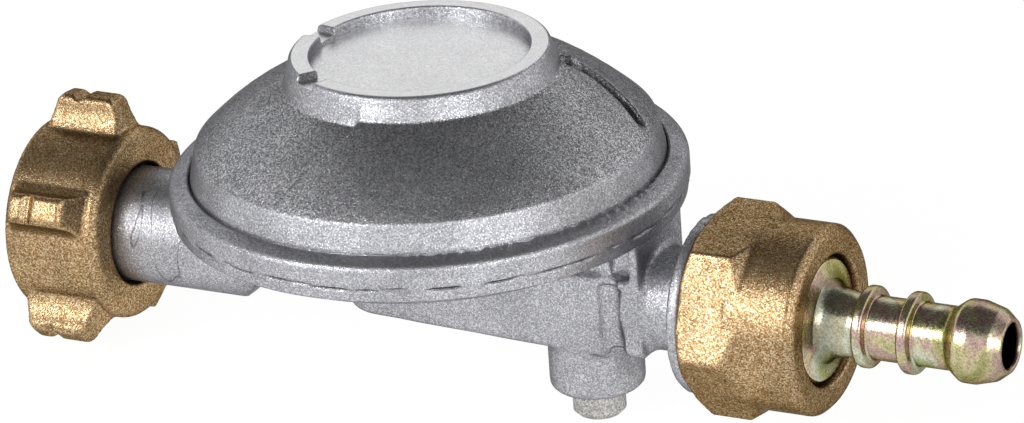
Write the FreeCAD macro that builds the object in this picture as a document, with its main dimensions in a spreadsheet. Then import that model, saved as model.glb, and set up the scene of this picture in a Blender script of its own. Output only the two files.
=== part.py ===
import FreeCAD, Part
import math
import os
import re
import Sketcher
from FreeCAD import Vector

# Low pressure gas regulator: lugged inlet nut, die-cast body with a crimped cover, hose tail outlet.
# Millimetres. X runs along the gas line from inlet to outlet, Z up the axis of the cover.
# The origin is the middle of the inlet nut's mouth, at the plane of its front face.

SIZES = {
    # Inlet union nut with lugs and a left-hand thread
    "inlet_thread_radius": 10.9,
    "inlet_thread_length": 5.8,
    "inlet_relief_length": 5.6,
    "inlet_relief_depth": 0.4,
    "inlet_shoulder": 3.4,
    "inlet_nut_wall": 2.8,
    "inlet_nut_round": 1.6,
    "inlet_mouth_bevel": 0.5,
    "lug_count": 5,
    "lug_height": 4.5,
    "lug_crest": 4.4,
    "lug_foot": 8.4,
    "lug_round": 1.1,
    "lug_flank_radius": 7.0,
    "lug_front_setback": 1.5,
    "lug_front_slope": 1.4,
    "lug_back_setback": 2.1,
    "lug_back_slope": 1.5,
    "lug_end_bevel": 0.9,
    "lug_turn": -7.0,
    "lug_notch_station": 5.9,
    "lug_notch_depth": 0.9,
    "lug_notch_width": 2.0,
    # Inlet nipple, its seal and filter, and the nut's slip washer
    "axial_play": 0.1,
    "slip_washer_thickness": 0.8,
    "slip_washer_play": 0.15,
    "slip_washer_gap": 0.6,
    "stem_radius": 8.2,
    "stem_hole_play": 0.6,
    "stem_exposed": 10.9,
    "stem_end_bevel": 0.5,
    "stem_cut_inset": 6.5,
    "stem_web_half_width": 5.2,
    "nipple_collar_overhang": 1.3,
    "nipple_collar_thickness": 2.0,
    "nipple_shank_radius": 5.5,
    "nipple_shank_length": 10.0,
    "nipple_nose_radius": 5.0,
    "nipple_bore_radius": 2.2,
    "seal_thickness": 2.4,
    "seal_overhang": 0.5,
    "seal_bevel": 0.4,
    "nose_recess": 0.8,
    "filter_radius": 3.2,
    "filter_thickness": 1.2,
    # Body casting: flange, crimped lip and diaphragm chamber
    "flange_radius": 36.0,
    "flange_height": 10.0,
    "flange_edge": 5.2,
    "flange_round": 0.7,
    "dish_depth": 2.2,
    "dish_inset": 5.0,
    "dish_flare": 2.4,
    "lip_rise": 0.9,
    "lip_width": 2.8,
    "flange_wall": 1.5,
    "ledge_rise": 2.9,
    "ledge_width": 4.5,
    "chamber_depth": 2.7,
    # Body casting: gas passage keel, end plate, outlet neck and foot boss
    "duct_radius": 5.2,
    "keel_half_width": 6.9,
    "keel_start": 12.9,
    "keel_depth": 7.4,
    "keel_rise": 1.6,
    "keel_nose_round": 6.2,
    "keel_edge_round": 1.3,
    "waist_length": 2.8,
    "waist_inset": 1.6,
    "waist_top_inset": 0.6,
    "waist_pocket_floor": 4.8,
    "waist_pocket_depth": 2.1,
    "waist_pocket_width": 3.4,
    "waist_pocket_lead": 1.5,
    "valley_radius": 2.2,
    "keel_shelf_start": 20.0,
    "keel_shelf_inset": 0.9,
    "end_plate_inset": 1.0,
    "end_plate_thickness": 3.4,
    "end_plate_overhang": 0.3,
    "end_plate_lift": 0.7,
    "neck_radius": 7.2,
    "neck_length": 8.1,
    "neck_ring_width": 1.9,
    "neck_ring_height": 5.2,
    "boss_station": 24.1,
    "boss_radius": 6.65,
    "boss_depth": 14.5,
    "boss_bevel": 0.8,
    "plug_radius": 3.7,
    "plug_drop": 4.2,
    "plug_bevel": 0.7,
    "plug_insert": 8.0,
    # Well for the valve and lever, and the drillings
    "well_half_width": 4.8,
    "well_start": 4.0,
    "well_length": 23.0,
    "guide_radius": 3.1,
    "gas_bore_radius": 2.2,
    "outlet_bore_radius": 3.2,
    # Orifice nozzle, valve plunger and pad
    "nozzle_thread_radius": 2.4,
    "nozzle_thread_length": 6.0,
    "nozzle_barrel_radius": 2.2,
    "nozzle_collar_thickness": 1.5,
    "nozzle_tip_radius": 1.5,
    "nozzle_tip_taper": 1.5,
    "nozzle_bore_radius": 1.0,
    "valve_station": 6.6,
    "valve_lift": 1.36,
    "valve_closed_gap": 0.14,
    "valve_guide_play": 0.1,
    "pad_radius": 2.2,
    "pad_thickness": 1.6,
    "pad_stand_out": 0.4,
    "slot_width": 1.8,
    "slot_depth": 1.6,
    "plunger_tail": 1.6,
    "plunger_stop_gap": 0.1,
    "plunger_stop_wall": 1.3,
    "plunger_tail_height": 1.2,
    # Lever, its pivot pin, bracket and screws
    "pivot_station": 14.5,
    "pivot_height": 6.5,
    "pivot_pin_radius": 1.0,
    "pivot_play": 0.05,
    "lever_half_width": 2.8,
    "lever_hub_radius": 2.0,
    "lever_leg_half": 0.55,
    "lever_toe_radius": 0.75,
    "lever_arm_thickness": 0.9,
    "lever_arm_slope": 0.105,
    "lever_fork_reach": 2.7,
    "lever_fork_depth": 5.0,
    "lever_bend": 9.0,
    "fork_play": 0.25,
    "bracket_thickness": 0.8,
    "bracket_play": 0.3,
    "cheek_length": 4.4,
    "bracket_half_width": 6.8,
    "bracket_back": 9.0,
    "bracket_slot": 4.2,
    "cheek_drop": 1.9,
    "pin_stand_out": 0.3,
    "screw_station": 7.0,
    "screw_offset": 4.3,
    "screw_radius": 1.25,
    "screw_length": 5.0,
    "screw_head_radius": 2.2,
    "screw_head_height": 1.3,
    "screw_slot_width": 0.6,
    "screw_slot_depth": 0.6,
    # Diaphragm, its plate, washer and stem
    "diaphragm_thickness": 0.8,
    "diaphragm_stroke": 3.0,
    "convolution_inset": 2.9,
    "convolution_width": 5.2,
    "convolution_height": 1.8,
    "convolution_flank": 1.4,
    "plate_inset": 2.9,
    "plate_thickness": 0.8,
    "plate_edge_height": 2.0,
    "plate_rib_height": 1.2,
    "plate_rib_gap": 0.3,
    "plate_rib_width": 1.0,
    "washer_radius": 7.0,
    "washer_thickness": 0.6,
    "stem_shank_radius": 1.6,
    "stem_neck_radius": 1.3,
    "stem_collar_radius": 2.6,
    "stem_head_thickness": 0.8,
    "stem_groove_height": 1.8,
    "stem_groove_centre": 8.3,
    "stem_rivet_height": 1.0,
    # Cover casting, cap plate, adjusting ring and main spring
    "cover_rim_thickness": 1.4,
    "cover_rim_play": 0.1,
    "cover_rim_bevel": 1.0,
    "cover_gap": 0.15,
    "band_height": 3.2,
    "band_draft": 1.0,
    "cover_wall": 2.2,
    "cone_height": 9.2,
    "cone_bulge_radius": 70.0,
    "boss_foot_bevel": 0.9,
    "cap_boss_radius": 18.0,
    "cap_boss_height": 4.0,
    "cap_boss_draft": 1.0,
    "cap_rim_width": 2.8,
    "cap_rim_bevel": 0.6,
    "cap_recess": 1.6,
    "cap_thickness": 1.4,
    "cap_ledge": 1.6,
    "notch_drop": 1.1,
    "left_notch_start": 169.0,
    "front_notch_start": 231.0,
    "notch_sweep": 13.0,
    "ring_thickness": 3.0,
    "ring_gap": 0.6,
    "ring_hex_radius": 6.0,
    "ring_skirt_wall": 2.6,
    "ring_skirt_extra": 1.1,
    "spring_radius": 10.4,
    "spring_wire_radius": 0.8,
    "spring_turns": 4,
    # Outlet stub, gasket, union nut and hose tail
    "stub_radius": 9.3,
    "stub_length": 9.9,
    "stub_bevel": 0.6,
    "gasket_thickness": 2.0,
    "gasket_bore_radius": 4.2,
    "gasket_inset": 0.3,
    "outlet_thread_play": 0.7,
    "outlet_nut_lip": 2.7,
    "outlet_hole_radius": 9.15,
    "outlet_relief_depth": 0.3,
    "outlet_relief_length": 4.6,
    "hex_across_flats": 26.0,
    "hex_turn": 38.0,
    "hex_length": 6.9,
    "hex_front_bevel": 1.9,
    "hex_back_bevel": 1.1,
    "hex_back_drop": 1.8,
    "collar_radius": 13.2,
    "collar_bevel": 1.0,
    "tail_flange_thickness": 2.5,
    "tail_flange_play": 0.25,
    "tail_collar_play": 0.5,
    "tail_collar_stand": 2.7,
    "tail_collar_crown": 0.6,
    "tail_collar_bevel": 0.4,
    "tail_flare_foot": 5.9,
    "tail_flare_length": 4.3,
    "tail_flare_round": 6.5,
    "tail_shaft_radius": 4.4,
    "tail_bore_radius": 3.0,
    "rib_radius": 5.66,
    "rib_width": 1.6,
    "rib_station": 6.0,
    "rib_pitch": 6.6,
    "rib_flank": 0.15,
    "rib_bevel": 0.5,
    "bulb_station": 18.0,
    "bulb_rise_length": 2.1,
    "bulb_shoulder": 0.7,
    "bulb_radius": 5.75,
    "bulb_land": 2.0,
    "bulb_nose_length": 4.4,
    "mouth_radius": 3.7,
}

doc = FreeCAD.newDocument("Regulator")
sheet = doc.addObject("Spreadsheet::Sheet", "Sizes")
for row, (alias, size) in enumerate(SIZES.items(), 1):
    sheet.set("A%d" % row, alias)
    sheet.set("B%d" % row, str(size))
    sheet.setAlias("B%d" % row, alias)
doc.recompute()


def cells(text):
    """The same expression with each size's name pointing to its cell."""
    return re.sub(r"[a-z][a-z_]+", lambda m: "Sizes." + m[0] if m[0] in SIZES else m[0], str(text))


def value(text):
    number = sheet.evalExpression(cells(text))
    return float(getattr(number, "Value", number))


def new_body(label, along="0", up="0", turn="0"):
    """A body at a place on the gas line, turned about that line by an angle in degrees."""
    body = doc.addObject("PartDesign::Body", label)
    body.Label = label
    body.Placement.Rotation = FreeCAD.Rotation(Vector(1, 0, 0), value(turn))
    body.setExpression("Placement.Base.x", cells(along))
    body.setExpression("Placement.Base.z", cells(up))
    return body


def new_sketch(body, name, role, offset="0"):
    sketch = body.newObject("Sketcher::SketchObject", name)
    origin_plane = next(f for f in body.Origin.OriginFeatures if f.Role == role)
    sketch.AttachmentSupport = [(origin_plane, "")]
    sketch.MapMode = "FlatFace"
    sketch.setExpression("AttachmentOffset.Base.z", cells(offset))
    return sketch


def arc_between(start, end, radius, turn):
    """An arc of under a half circle. turn 1 bends left on the way from start to end, -1 right."""
    half = (end - start) * 0.5
    left = Vector(-half.y, half.x, 0).normalize()
    reach = math.sqrt(max(radius ** 2 - half.Length ** 2, 0.0))
    centre = start + half + left * reach * turn
    circle = Part.Circle(centre, Vector(0, 0, 1), radius)
    first, last = (start, end) if turn > 0 else (end, start)
    begin = math.atan2(first.y - centre.y, first.x - centre.x)
    finish = math.atan2(last.y - centre.y, last.x - centre.x)
    return Part.ArcOfCircle(circle, begin, finish if finish > begin else finish + 2 * math.pi)


def outline(body, name, role, points, offset="0"):
    """A closed sketch. Each point is (x, y), or (x, y, radius, turn) where an arc leads to it."""
    sketch = new_sketch(body, name, role, offset)
    places = [Vector(value(p[0]), value(p[1]), 0) for p in points]
    count = len(points)
    ends = []
    for i in range(count):
        start, end, target = places[i], places[(i + 1) % count], points[(i + 1) % count]
        if len(target) == 4:
            radius, turn = value(target[2]), target[3]
            sketch.addGeometry(arc_between(start, end, radius, turn), False)
            ends.append((1, 2) if turn > 0 else (2, 1))
        else:
            sketch.addGeometry(Part.LineSegment(start, end), False)
            ends.append((1, 2))
    for i in range(count):
        after = (i + 1) % count
        sketch.addConstraint(Sketcher.Constraint("Coincident", i, ends[i][1], after, ends[after][0]))
    for i in range(count):
        for kind, size, text in (("DistanceX", places[i].x, points[i][0]), ("DistanceY", places[i].y, points[i][1])):
            index = sketch.addConstraint(Sketcher.Constraint(kind, -1, 1, i, ends[i][0], size))
            sketch.setExpression("Constraints[%d]" % index, cells(text))
        target = points[(i + 1) % count]
        if len(target) == 4:
            index = sketch.addConstraint(Sketcher.Constraint("Radius", i, value(target[2])))
            sketch.setExpression("Constraints[%d]" % index, cells(target[2]))
    return sketch


def circles(body, name, role, rings, offset="0"):
    """A sketch of whole circles, each (x, y, radius)."""
    sketch = new_sketch(body, name, role, offset)
    for i, (x, y, radius) in enumerate(rings):
        sketch.addGeometry(Part.Circle(Vector(value(x), value(y), 0), Vector(0, 0, 1), value(radius)), False)
        for kind, text in (("DistanceX", x), ("DistanceY", y)):
            index = sketch.addConstraint(Sketcher.Constraint(kind, -1, 1, i, 3, value(text)))
            sketch.setExpression("Constraints[%d]" % index, cells(text))
        index = sketch.addConstraint(Sketcher.Constraint("Radius", i, value(radius)))
        sketch.setExpression("Constraints[%d]" % index, cells(radius))
    return sketch


def box_points(x0, y0, x1, y1):
    return [(x0, y0), (x1, y0), (x1, y1), (x0, y1)]


def turned(body, sketch, name, axis="H_Axis", cut=False):
    """The sketch turned about its own horizontal or vertical axis, as a solid or as a groove."""
    kind = "PartDesign::Groove" if cut else "PartDesign::Revolution"
    feature = body.newObject(kind, name)
    feature.Profile = sketch
    feature.ReferenceAxis = (sketch, [axis])
    feature.Angle = 360
    doc.recompute()
    return feature


def pulled(body, sketch, name, length, cut=False, middle=False, back=False):
    """The sketch as a pad, or as a pocket: along its normal, against it, or both ways alike."""
    feature = body.newObject("PartDesign::Pocket" if cut else "PartDesign::Pad", name)
    feature.Profile = sketch
    feature.setExpression("Length", cells(length))
    feature.SideType = "Symmetric" if middle else "One side"
    feature.Reversed = back != cut
    doc.recompute()
    return feature


def edges_of(body, wanted):
    """The newest feature with the names of those of its edges that wanted(edge) picks."""
    return body.Tip, ["Edge%d" % (i + 1) for i, edge in enumerate(body.Tip.Shape.Edges) if wanted(edge)]


def rounded(body, name, size, wanted):
    base = edges_of(body, wanted)
    feature = body.newObject("PartDesign::Fillet", name)
    feature.Base = base
    feature.setExpression("Radius", cells(size))
    doc.recompute()


def bevelled(body, name, size, wanted):
    base = edges_of(body, wanted)
    feature = body.newObject("PartDesign::Chamfer", name)
    feature.Base = base
    feature.setExpression("Size", cells(size))
    doc.recompute()


def near(a, b):
    return abs(a - b) < 0.01


# Places along the gas line, from the mouth of the inlet nut
inlet_nut_length = "(inlet_thread_length + inlet_relief_length + inlet_shoulder)"
stem_end = "(inlet_thread_length + inlet_relief_length - slip_washer_thickness - 2 * axial_play)"
body_axis = "(%s + stem_exposed + flange_radius)" % inlet_nut_length
seat_front = "(%s - nipple_collar_thickness)" % stem_end
end_plate_outer = "(flange_radius - end_plate_inset)"
end_plate_inner = "(%s - end_plate_thickness)" % end_plate_outer
keel_end = "(%s - waist_length)" % end_plate_inner
stub_back = "(%s + neck_length)" % end_plate_outer
stub_end = "(%s + stub_length)" % stub_back
gasket_end = "(%s + gasket_thickness)" % stub_end
tail_flange_end = "(%s + tail_flange_thickness)" % gasket_end
outlet_nut_end = "(%s + axial_play + outlet_nut_lip)" % tail_flange_end

# Heights above the gas line
ledge_top = "(flange_height + ledge_rise)"
chamber_floor = "(%s - chamber_depth)" % ledge_top
diaphragm_top = "(%s + diaphragm_thickness)" % ledge_top
rim_top = "(%s + cover_rim_thickness)" % diaphragm_top
lip_top = "(flange_height + flange_edge + lip_rise)"
dish_bottom = "(flange_height - dish_depth)"
band_top = "(%s + band_height)" % lip_top
cap_boss_foot = "(%s + cone_height)" % band_top
cap_boss_top = "(%s + cap_boss_height)" % cap_boss_foot
cap_top = "(%s - cap_recess)" % cap_boss_top
cap_bottom = "(%s - cap_thickness)" % cap_top
ring_top = "(%s - ring_gap)" % cap_bottom
ring_bottom = "(%s - ring_thickness)" % ring_top
plate_top = "(%s + plate_thickness)" % diaphragm_top

# Radii that several pieces share
inlet_nut_radius = "(inlet_thread_radius + inlet_nut_wall)"
inlet_relief_radius = "(inlet_thread_radius + inlet_relief_depth)"
lug_radius = "(%s + lug_height)" % inlet_nut_radius
stem_hole_radius = "(stem_radius + stem_hole_play)"
pocket_radius = "(flange_radius - flange_wall)"
chamber_radius = "(%s - ledge_width)" % pocket_radius
dish_radius = "(flange_radius - dish_inset)"
lip_radius = "(flange_radius - lip_width)"
rim_radius = "(%s - cover_rim_play)" % pocket_radius
cap_recess_radius = "(cap_boss_radius - cap_rim_width)"
ring_radius = "(%s - cap_ledge)" % cap_recess_radius
outlet_thread_radius = "(stub_radius + outlet_thread_play)"

pieces = []


# The forged inlet nut: turned bore and body, five lugs with a notch that marks a left-hand thread
inlet_nut = new_body("inlet_nut", turn="lug_turn")
pieces.append(inlet_nut)
relief_end = "(inlet_thread_length + inlet_relief_length)"
profile = outline(inlet_nut, "NutProfile", "XZ_Plane", [
    ("0", "inlet_thread_radius"),
    ("0", "%s - inlet_mouth_bevel" % inlet_nut_radius),
    ("inlet_mouth_bevel", inlet_nut_radius),
    ("%s - inlet_nut_round" % inlet_nut_length, inlet_nut_radius),
    (inlet_nut_length, "%s - inlet_nut_round" % inlet_nut_radius, "inlet_nut_round", -1),
    (inlet_nut_length, stem_hole_radius),
    (relief_end, stem_hole_radius),
    (relief_end, inlet_relief_radius),
    ("inlet_thread_length", inlet_relief_radius),
    ("inlet_thread_length", "inlet_thread_radius"),
])
turned(inlet_nut, profile, "NutBlank")
lug_base = "(inlet_thread_radius + inlet_nut_wall / 2)"
lug_end = "(%s - lug_back_setback)" % inlet_nut_length
lug_mid = "(%s + lug_height / 10)" % inlet_nut_radius
lug_over = "(%s + lug_height)" % lug_radius
lug_profile = outline(inlet_nut, "LugProfile", "YZ_Plane", [
    ("-lug_foot / 2", lug_base, "lug_flank_radius", -1),
    ("lug_foot / 2", lug_base),
    ("lug_crest / 2", "%s - lug_round" % lug_radius, "lug_flank_radius", -1),
    ("lug_crest / 2 - lug_round", lug_radius, "lug_round", 1),
    ("lug_round - lug_crest / 2", lug_radius),
    ("-lug_crest / 2", "%s - lug_round" % lug_radius, "lug_round", 1),
], "lug_front_setback")
lug = pulled(inlet_nut, lug_profile, "Lug", "%s - lug_front_setback" % lug_end)
lugs = inlet_nut.newObject("PartDesign::PolarPattern", "Lugs")
lugs.Originals = [lug]
lugs.Axis = (lug_profile, ["N_Axis"])
lugs.Angle = 360
lugs.setExpression("Occurrences", cells("lug_count"))
inlet_nut.Tip = lugs
doc.recompute()
for name, place, slope, side in (("LugFront", "lug_front_setback", "lug_front_slope", 1),
                                 ("LugBack", lug_end, "lug_back_slope", -1)):
    end_slope = outline(inlet_nut, name + "Slope", "XZ_Plane", [
        (place, lug_mid),
        ("%s - %d * %s" % (place, side, slope), lug_over),
        ("%s + %d * 2 * %s" % (place, side, slope), lug_over),
    ])
    turned(inlet_nut, end_slope, name + "Cut", cut=True)
    crest_end = "(%s + %d * 0.95 * %s)" % (place, side, slope)
    end_bevel = outline(inlet_nut, name + "Bevel", "XZ_Plane", [
        ("%s - %d * lug_end_bevel" % (crest_end, side), "%s - 1.5 * lug_end_bevel" % lug_radius),
        ("%s - %d * lug_end_bevel" % (crest_end, side), "%s + 0.5 * lug_end_bevel" % lug_radius),
        ("%s + %d * lug_end_bevel" % (crest_end, side), "%s + 0.5 * lug_end_bevel" % lug_radius),
    ])
    turned(inlet_nut, end_bevel, name + "BevelCut", cut=True)
notch = outline(inlet_nut, "LugNotch", "XZ_Plane", [
    ("lug_notch_station", "%s - lug_notch_depth" % lug_radius),
    ("lug_notch_station + lug_notch_width", "%s + lug_notch_depth" % lug_radius),
    ("lug_notch_station - lug_notch_width", "%s + lug_notch_depth" % lug_radius),
])
turned(inlet_nut, notch, "LeftHandNotch", cut=True)

# The slip washer that the nut's shoulder pushes on the nipple's collar with
nut_slip_washer = new_body("nut_slip_washer", "%s + axial_play" % stem_end)
pieces.append(nut_slip_washer)
profile = outline(nut_slip_washer, "WasherProfile", "XZ_Plane", box_points(
    "0", "stem_radius + slip_washer_play", "slip_washer_thickness", "%s - slip_washer_gap" % inlet_relief_radius))
turned(nut_slip_washer, profile, "Washer")

# The brass nipple pressed into the stem, whose collar keeps the nut on
inlet_nipple = new_body("inlet_nipple", stem_end)
pieces.append(inlet_nipple)
nose_tip = "(-nipple_collar_thickness - seal_thickness + nose_recess)"
profile = outline(inlet_nipple, "NippleProfile", "XZ_Plane", [
    (nose_tip, "filter_radius"),
    (nose_tip, "nipple_nose_radius"),
    ("-nipple_collar_thickness", "nipple_nose_radius"),
    ("-nipple_collar_thickness", "stem_radius + nipple_collar_overhang"),
    ("0", "stem_radius + nipple_collar_overhang"),
    ("0", "nipple_shank_radius"),
    ("nipple_shank_length", "nipple_shank_radius"),
    ("nipple_shank_length", "nipple_bore_radius"),
    ("%s + filter_thickness" % nose_tip, "nipple_bore_radius"),
    ("%s + filter_thickness" % nose_tip, "filter_radius"),
])
turned(inlet_nipple, profile, "Nipple")

# The sintered filter in the nipple's nose
inlet_filter = new_body("inlet_filter", stem_end)
pieces.append(inlet_filter)
turned(inlet_filter, outline(inlet_filter, "FilterProfile", "XZ_Plane", box_points(
    nose_tip, "0", "%s + filter_thickness" % nose_tip, "filter_radius")), "Filter")

# The rubber face seal round the nose
inlet_seal = new_body("inlet_seal", seat_front)
pieces.append(inlet_seal)
seal_radius = "(stem_radius + seal_overhang)"
profile = outline(inlet_seal, "SealProfile", "XZ_Plane", [
    ("0", "nipple_nose_radius"),
    ("-seal_thickness", "nipple_nose_radius"),
    ("-seal_thickness", "%s - seal_bevel" % seal_radius),
    ("seal_bevel - seal_thickness", seal_radius),
    ("0", seal_radius),
])
turned(inlet_seal, profile, "Seal")

# The die-cast body. First the keel under the dish, which holds the valve's well and the outlet passage
body_casting = new_body("body_casting", body_axis)
pieces.append(body_casting)
keel_top = "(%s + chamber_depth / 4)" % dish_bottom
profile = outline(body_casting, "KeelSide", "XZ_Plane", [
    ("-keel_start", "keel_rise - keel_depth"),
    (keel_end, "-keel_depth"),
    (keel_end, keel_top),
    ("-keel_start", keel_top),
])
pulled(body_casting, profile, "Keel", "2 * keel_half_width", middle=True)
nose_x = value("-keel_start")
rounded(body_casting, "KeelNose", "keel_nose_round", lambda e: all(near(v.X, nose_x) for v in e.Vertexes)
        and abs(e.Vertexes[0].Z - e.Vertexes[-1].Z) > 1)
keel_low = value("keel_rise - keel_depth")
keel_back = value(keel_end)
rounded(body_casting, "KeelEdge", "keel_edge_round", lambda e: all(v.Z < keel_low + 0.01 for v in e.Vertexes)
        and not all(near(v.X, keel_back) for v in e.Vertexes))

# The waist behind the keel, the square end plate, and the valley, shelf and pocket in each of its sides
waist_start = "(%s - 2 * keel_edge_round)" % keel_end
waist = outline(body_casting, "WaistPlan", "XY_Plane", box_points(
    waist_start, "-keel_half_width", "%s + 1" % end_plate_inner, "keel_half_width"),
    "keel_edge_round - keel_depth")
pulled(body_casting, waist, "Waist", "keel_depth - keel_edge_round + waist_pocket_floor - 1")
waist_top = outline(body_casting, "WaistTopPlan", "XY_Plane", box_points(
    waist_start, "waist_top_inset - keel_half_width",
    "%s + 1" % end_plate_inner, "keel_half_width - waist_top_inset"), "waist_pocket_floor - 1")
pulled(body_casting, waist_top, "WaistTop", "(flange_height + %s) / 2 - waist_pocket_floor + 1" % chamber_floor)
plate_half = "(keel_half_width + end_plate_overhang)"
plate_low = "(end_plate_lift - keel_depth)"
end_plate = outline(body_casting, "EndPlatePlan", "YZ_Plane", [
    ("keel_edge_round - %s" % plate_half, plate_low, "keel_edge_round", 1),
    ("%s - keel_edge_round" % plate_half, plate_low),
    (plate_half, "%s + keel_edge_round" % plate_low, "keel_edge_round", 1),
    (plate_half, "flange_height + flange_round"),
    ("-%s" % plate_half, "flange_height + flange_round"),
    ("-%s" % plate_half, "%s + keel_edge_round" % plate_low),
], end_plate_inner)
pulled(body_casting, end_plate, "EndPlate", "end_plate_thickness")
waist_middle = "((%s + %s) / 2)" % (keel_end, end_plate_inner)
valley_line = "(keel_half_width - waist_inset + valley_radius)"
valley = circles(body_casting, "ValleyPlan", "XY_Plane", [
    (waist_middle, valley_line, "valley_radius"), (waist_middle, "-%s" % valley_line, "valley_radius")],
    "-keel_depth - 1")
pulled(body_casting, valley, "Valley", "keel_depth + waist_pocket_floor", cut=True)
pocket_start = "(%s - waist_pocket_lead)" % end_plate_inner
for name, y0, y1 in (("Left", "keel_half_width - waist_pocket_depth", "%s + 1" % plate_half),
                     ("Right", "-%s - 1" % plate_half, "waist_pocket_depth - keel_half_width")):
    pocket = outline(body_casting, name + "PocketPlan", "XY_Plane", box_points(
        pocket_start, y0, "%s + waist_pocket_width" % pocket_start, y1), "waist_pocket_floor")
    pulled(body_casting, pocket, name + "Pocket", "flange_height", cut=True)
for name, y0, y1 in (("Left", "keel_half_width - keel_shelf_inset", "keel_half_width + 1"),
                     ("Right", "-keel_half_width - 1", "keel_shelf_inset - keel_half_width")):
    shelf = outline(body_casting, name + "ShelfPlan", "XY_Plane", box_points(
        "keel_shelf_start", y0, pocket_start, y1), "waist_pocket_floor")
    pulled(body_casting, shelf, name + "Shelf", "flange_height", cut=True)

# The inlet stem, cut off at a slant under the flange, the duct behind it and the webs above them
stem_front = "(%s - %s)" % (stem_end, body_axis)
stem_cut = "(flange_radius - stem_cut_inset)"
stem_low = "(-stem_radius - 1)"
stem = circles(body_casting, "StemCircle", "YZ_Plane", [("0", "0", "stem_radius")], stem_front)
pulled(body_casting, stem, "Stem", "-keel_start - 1 - %s" % stem_front)
slant = outline(body_casting, "StemSlant", "XZ_Plane", [
    ("-%s - 1" % stem_cut, stem_low),
    ("-keel_start", stem_low),
    ("-keel_start", "%s + 1 + %s - keel_start" % (stem_low, stem_cut)),
])
pulled(body_casting, slant, "StemCut", "2 * stem_radius + 2", cut=True, middle=True)
duct = circles(body_casting, "DuctCircle", "YZ_Plane", [("0", "0", "duct_radius")], "-%s" % stem_cut)
pulled(body_casting, duct, "Duct", "%s - keel_start + keel_nose_round" % stem_cut)
web = outline(body_casting, "WebSide", "XZ_Plane", box_points(
    "-flange_radius + flange_round + 1", "stem_radius / 2", "-keel_start", keel_top))
pulled(body_casting, web, "Web", "2 * stem_web_half_width", middle=True)
rim_web = outline(body_casting, "RimWebSide", "XZ_Plane", box_points(
    "-flange_radius + flange_round + 1", "stem_radius / 2", "1 - %s" % dish_radius, "flange_height + flange_round"))
pulled(body_casting, rim_web, "RimWeb", "2 * stem_web_half_width", middle=True)

# The dish: flange, chamber and the lip that is rolled over the cover's rim
profile = outline(body_casting, "DishProfile", "XZ_Plane", [
    ("0", dish_bottom),
    (dish_radius, dish_bottom),
    ("%s + dish_flare" % dish_radius, "flange_height"),
    ("flange_radius - flange_round", "flange_height"),
    ("flange_radius", "flange_height + flange_round"),
    ("flange_radius", "flange_height + flange_edge"),
    (lip_radius, lip_top),
    (lip_radius, rim_top),
    ("%s - cover_rim_bevel" % pocket_radius, rim_top),
    (pocket_radius, "%s - cover_rim_bevel / 2" % rim_top),
    (pocket_radius, ledge_top),
    (chamber_radius, ledge_top),
    (chamber_radius, chamber_floor),
    ("0", chamber_floor),
])
turned(body_casting, profile, "Dish", "V_Axis")

# The foot boss under the keel and the outlet neck with its ring and threaded stub
boss = circles(body_casting, "BossCircle", "XY_Plane", [("boss_station", "0", "boss_radius")], "-boss_depth")
pulled(body_casting, boss, "Boss", "boss_depth - keel_depth / 2")
boss_low = value("-boss_depth")
bevelled(body_casting, "BossEdge", "boss_bevel", lambda e: all(near(v.Z, boss_low) for v in e.Vertexes))
profile = outline(body_casting, "NeckProfile", "XZ_Plane", [
    (end_plate_inner, "0"),
    (stub_end, "0"),
    (stub_end, "stub_radius - stub_bevel"),
    ("%s - stub_bevel" % stub_end, "stub_radius"),
    (stub_back, "stub_radius"),
    (stub_back, "neck_radius + neck_ring_height"),
    ("%s - neck_ring_width" % stub_back, "neck_radius + neck_ring_height"),
    ("%s - neck_ring_width" % stub_back, "neck_radius"),
    (end_plate_inner, "neck_radius"),
])
turned(body_casting, profile, "Neck")

# The drillings and the well: inlet passage, nozzle seat, valve guide, outlet passage, plug and screw holes
nozzle_back = "(-well_start - nozzle_thread_length)"
profile = outline(body_casting, "InletDrilling", "XZ_Plane", [
    (stem_front, "0"),
    ("-well_start", "0"),
    ("-well_start", "nozzle_thread_radius"),
    (nozzle_back, "nozzle_thread_radius"),
    (nozzle_back, "gas_bore_radius"),
    ("%s + nipple_shank_length" % stem_front, "gas_bore_radius"),
    ("%s + nipple_shank_length" % stem_front, "nipple_shank_radius"),
    (stem_front, "nipple_shank_radius"),
])
turned(body_casting, profile, "InletPassage", cut=True)
well_end = "(well_length - well_start)"
well = outline(body_casting, "WellPlan", "XY_Plane", box_points(
    "-well_start", "-well_half_width", well_end, "well_half_width"))
pulled(body_casting, well, "Well", "%s + 1" % chamber_floor, cut=True)
plunger_end = "(pivot_station + slot_width / 2 + plunger_tail)"
guide_end = "(%s + plunger_stop_gap)" % plunger_end
guide = circles(body_casting, "GuideCircle", "YZ_Plane", [("0", "0", "guide_radius")], "-well_start")
pulled(body_casting, guide, "ValveGuide", "well_start + %s" % guide_end, cut=True)
outlet_start = "(%s + plunger_stop_wall)" % guide_end
outlet = circles(body_casting, "OutletCircle", "YZ_Plane", [("0", "0", "outlet_bore_radius")], outlet_start)
pulled(body_casting, outlet, "OutletPassage", "%s - %s" % (stub_end, outlet_start), cut=True)
plug_hole = circles(body_casting, "PlugCircle", "XY_Plane", [("boss_station", "0", "plug_radius")], "-boss_depth")
pulled(body_casting, plug_hole, "PlugHole", "plug_insert", cut=True)
cross_hole = circles(body_casting, "CrossCircle", "XY_Plane", [("boss_station", "0", "gas_bore_radius")], "-boss_depth")
pulled(body_casting, cross_hole, "CrossDrilling", "boss_depth", cut=True)
screw_x = "(pivot_station + screw_station)"
screw_depth = "(screw_length - bracket_thickness)"
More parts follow.
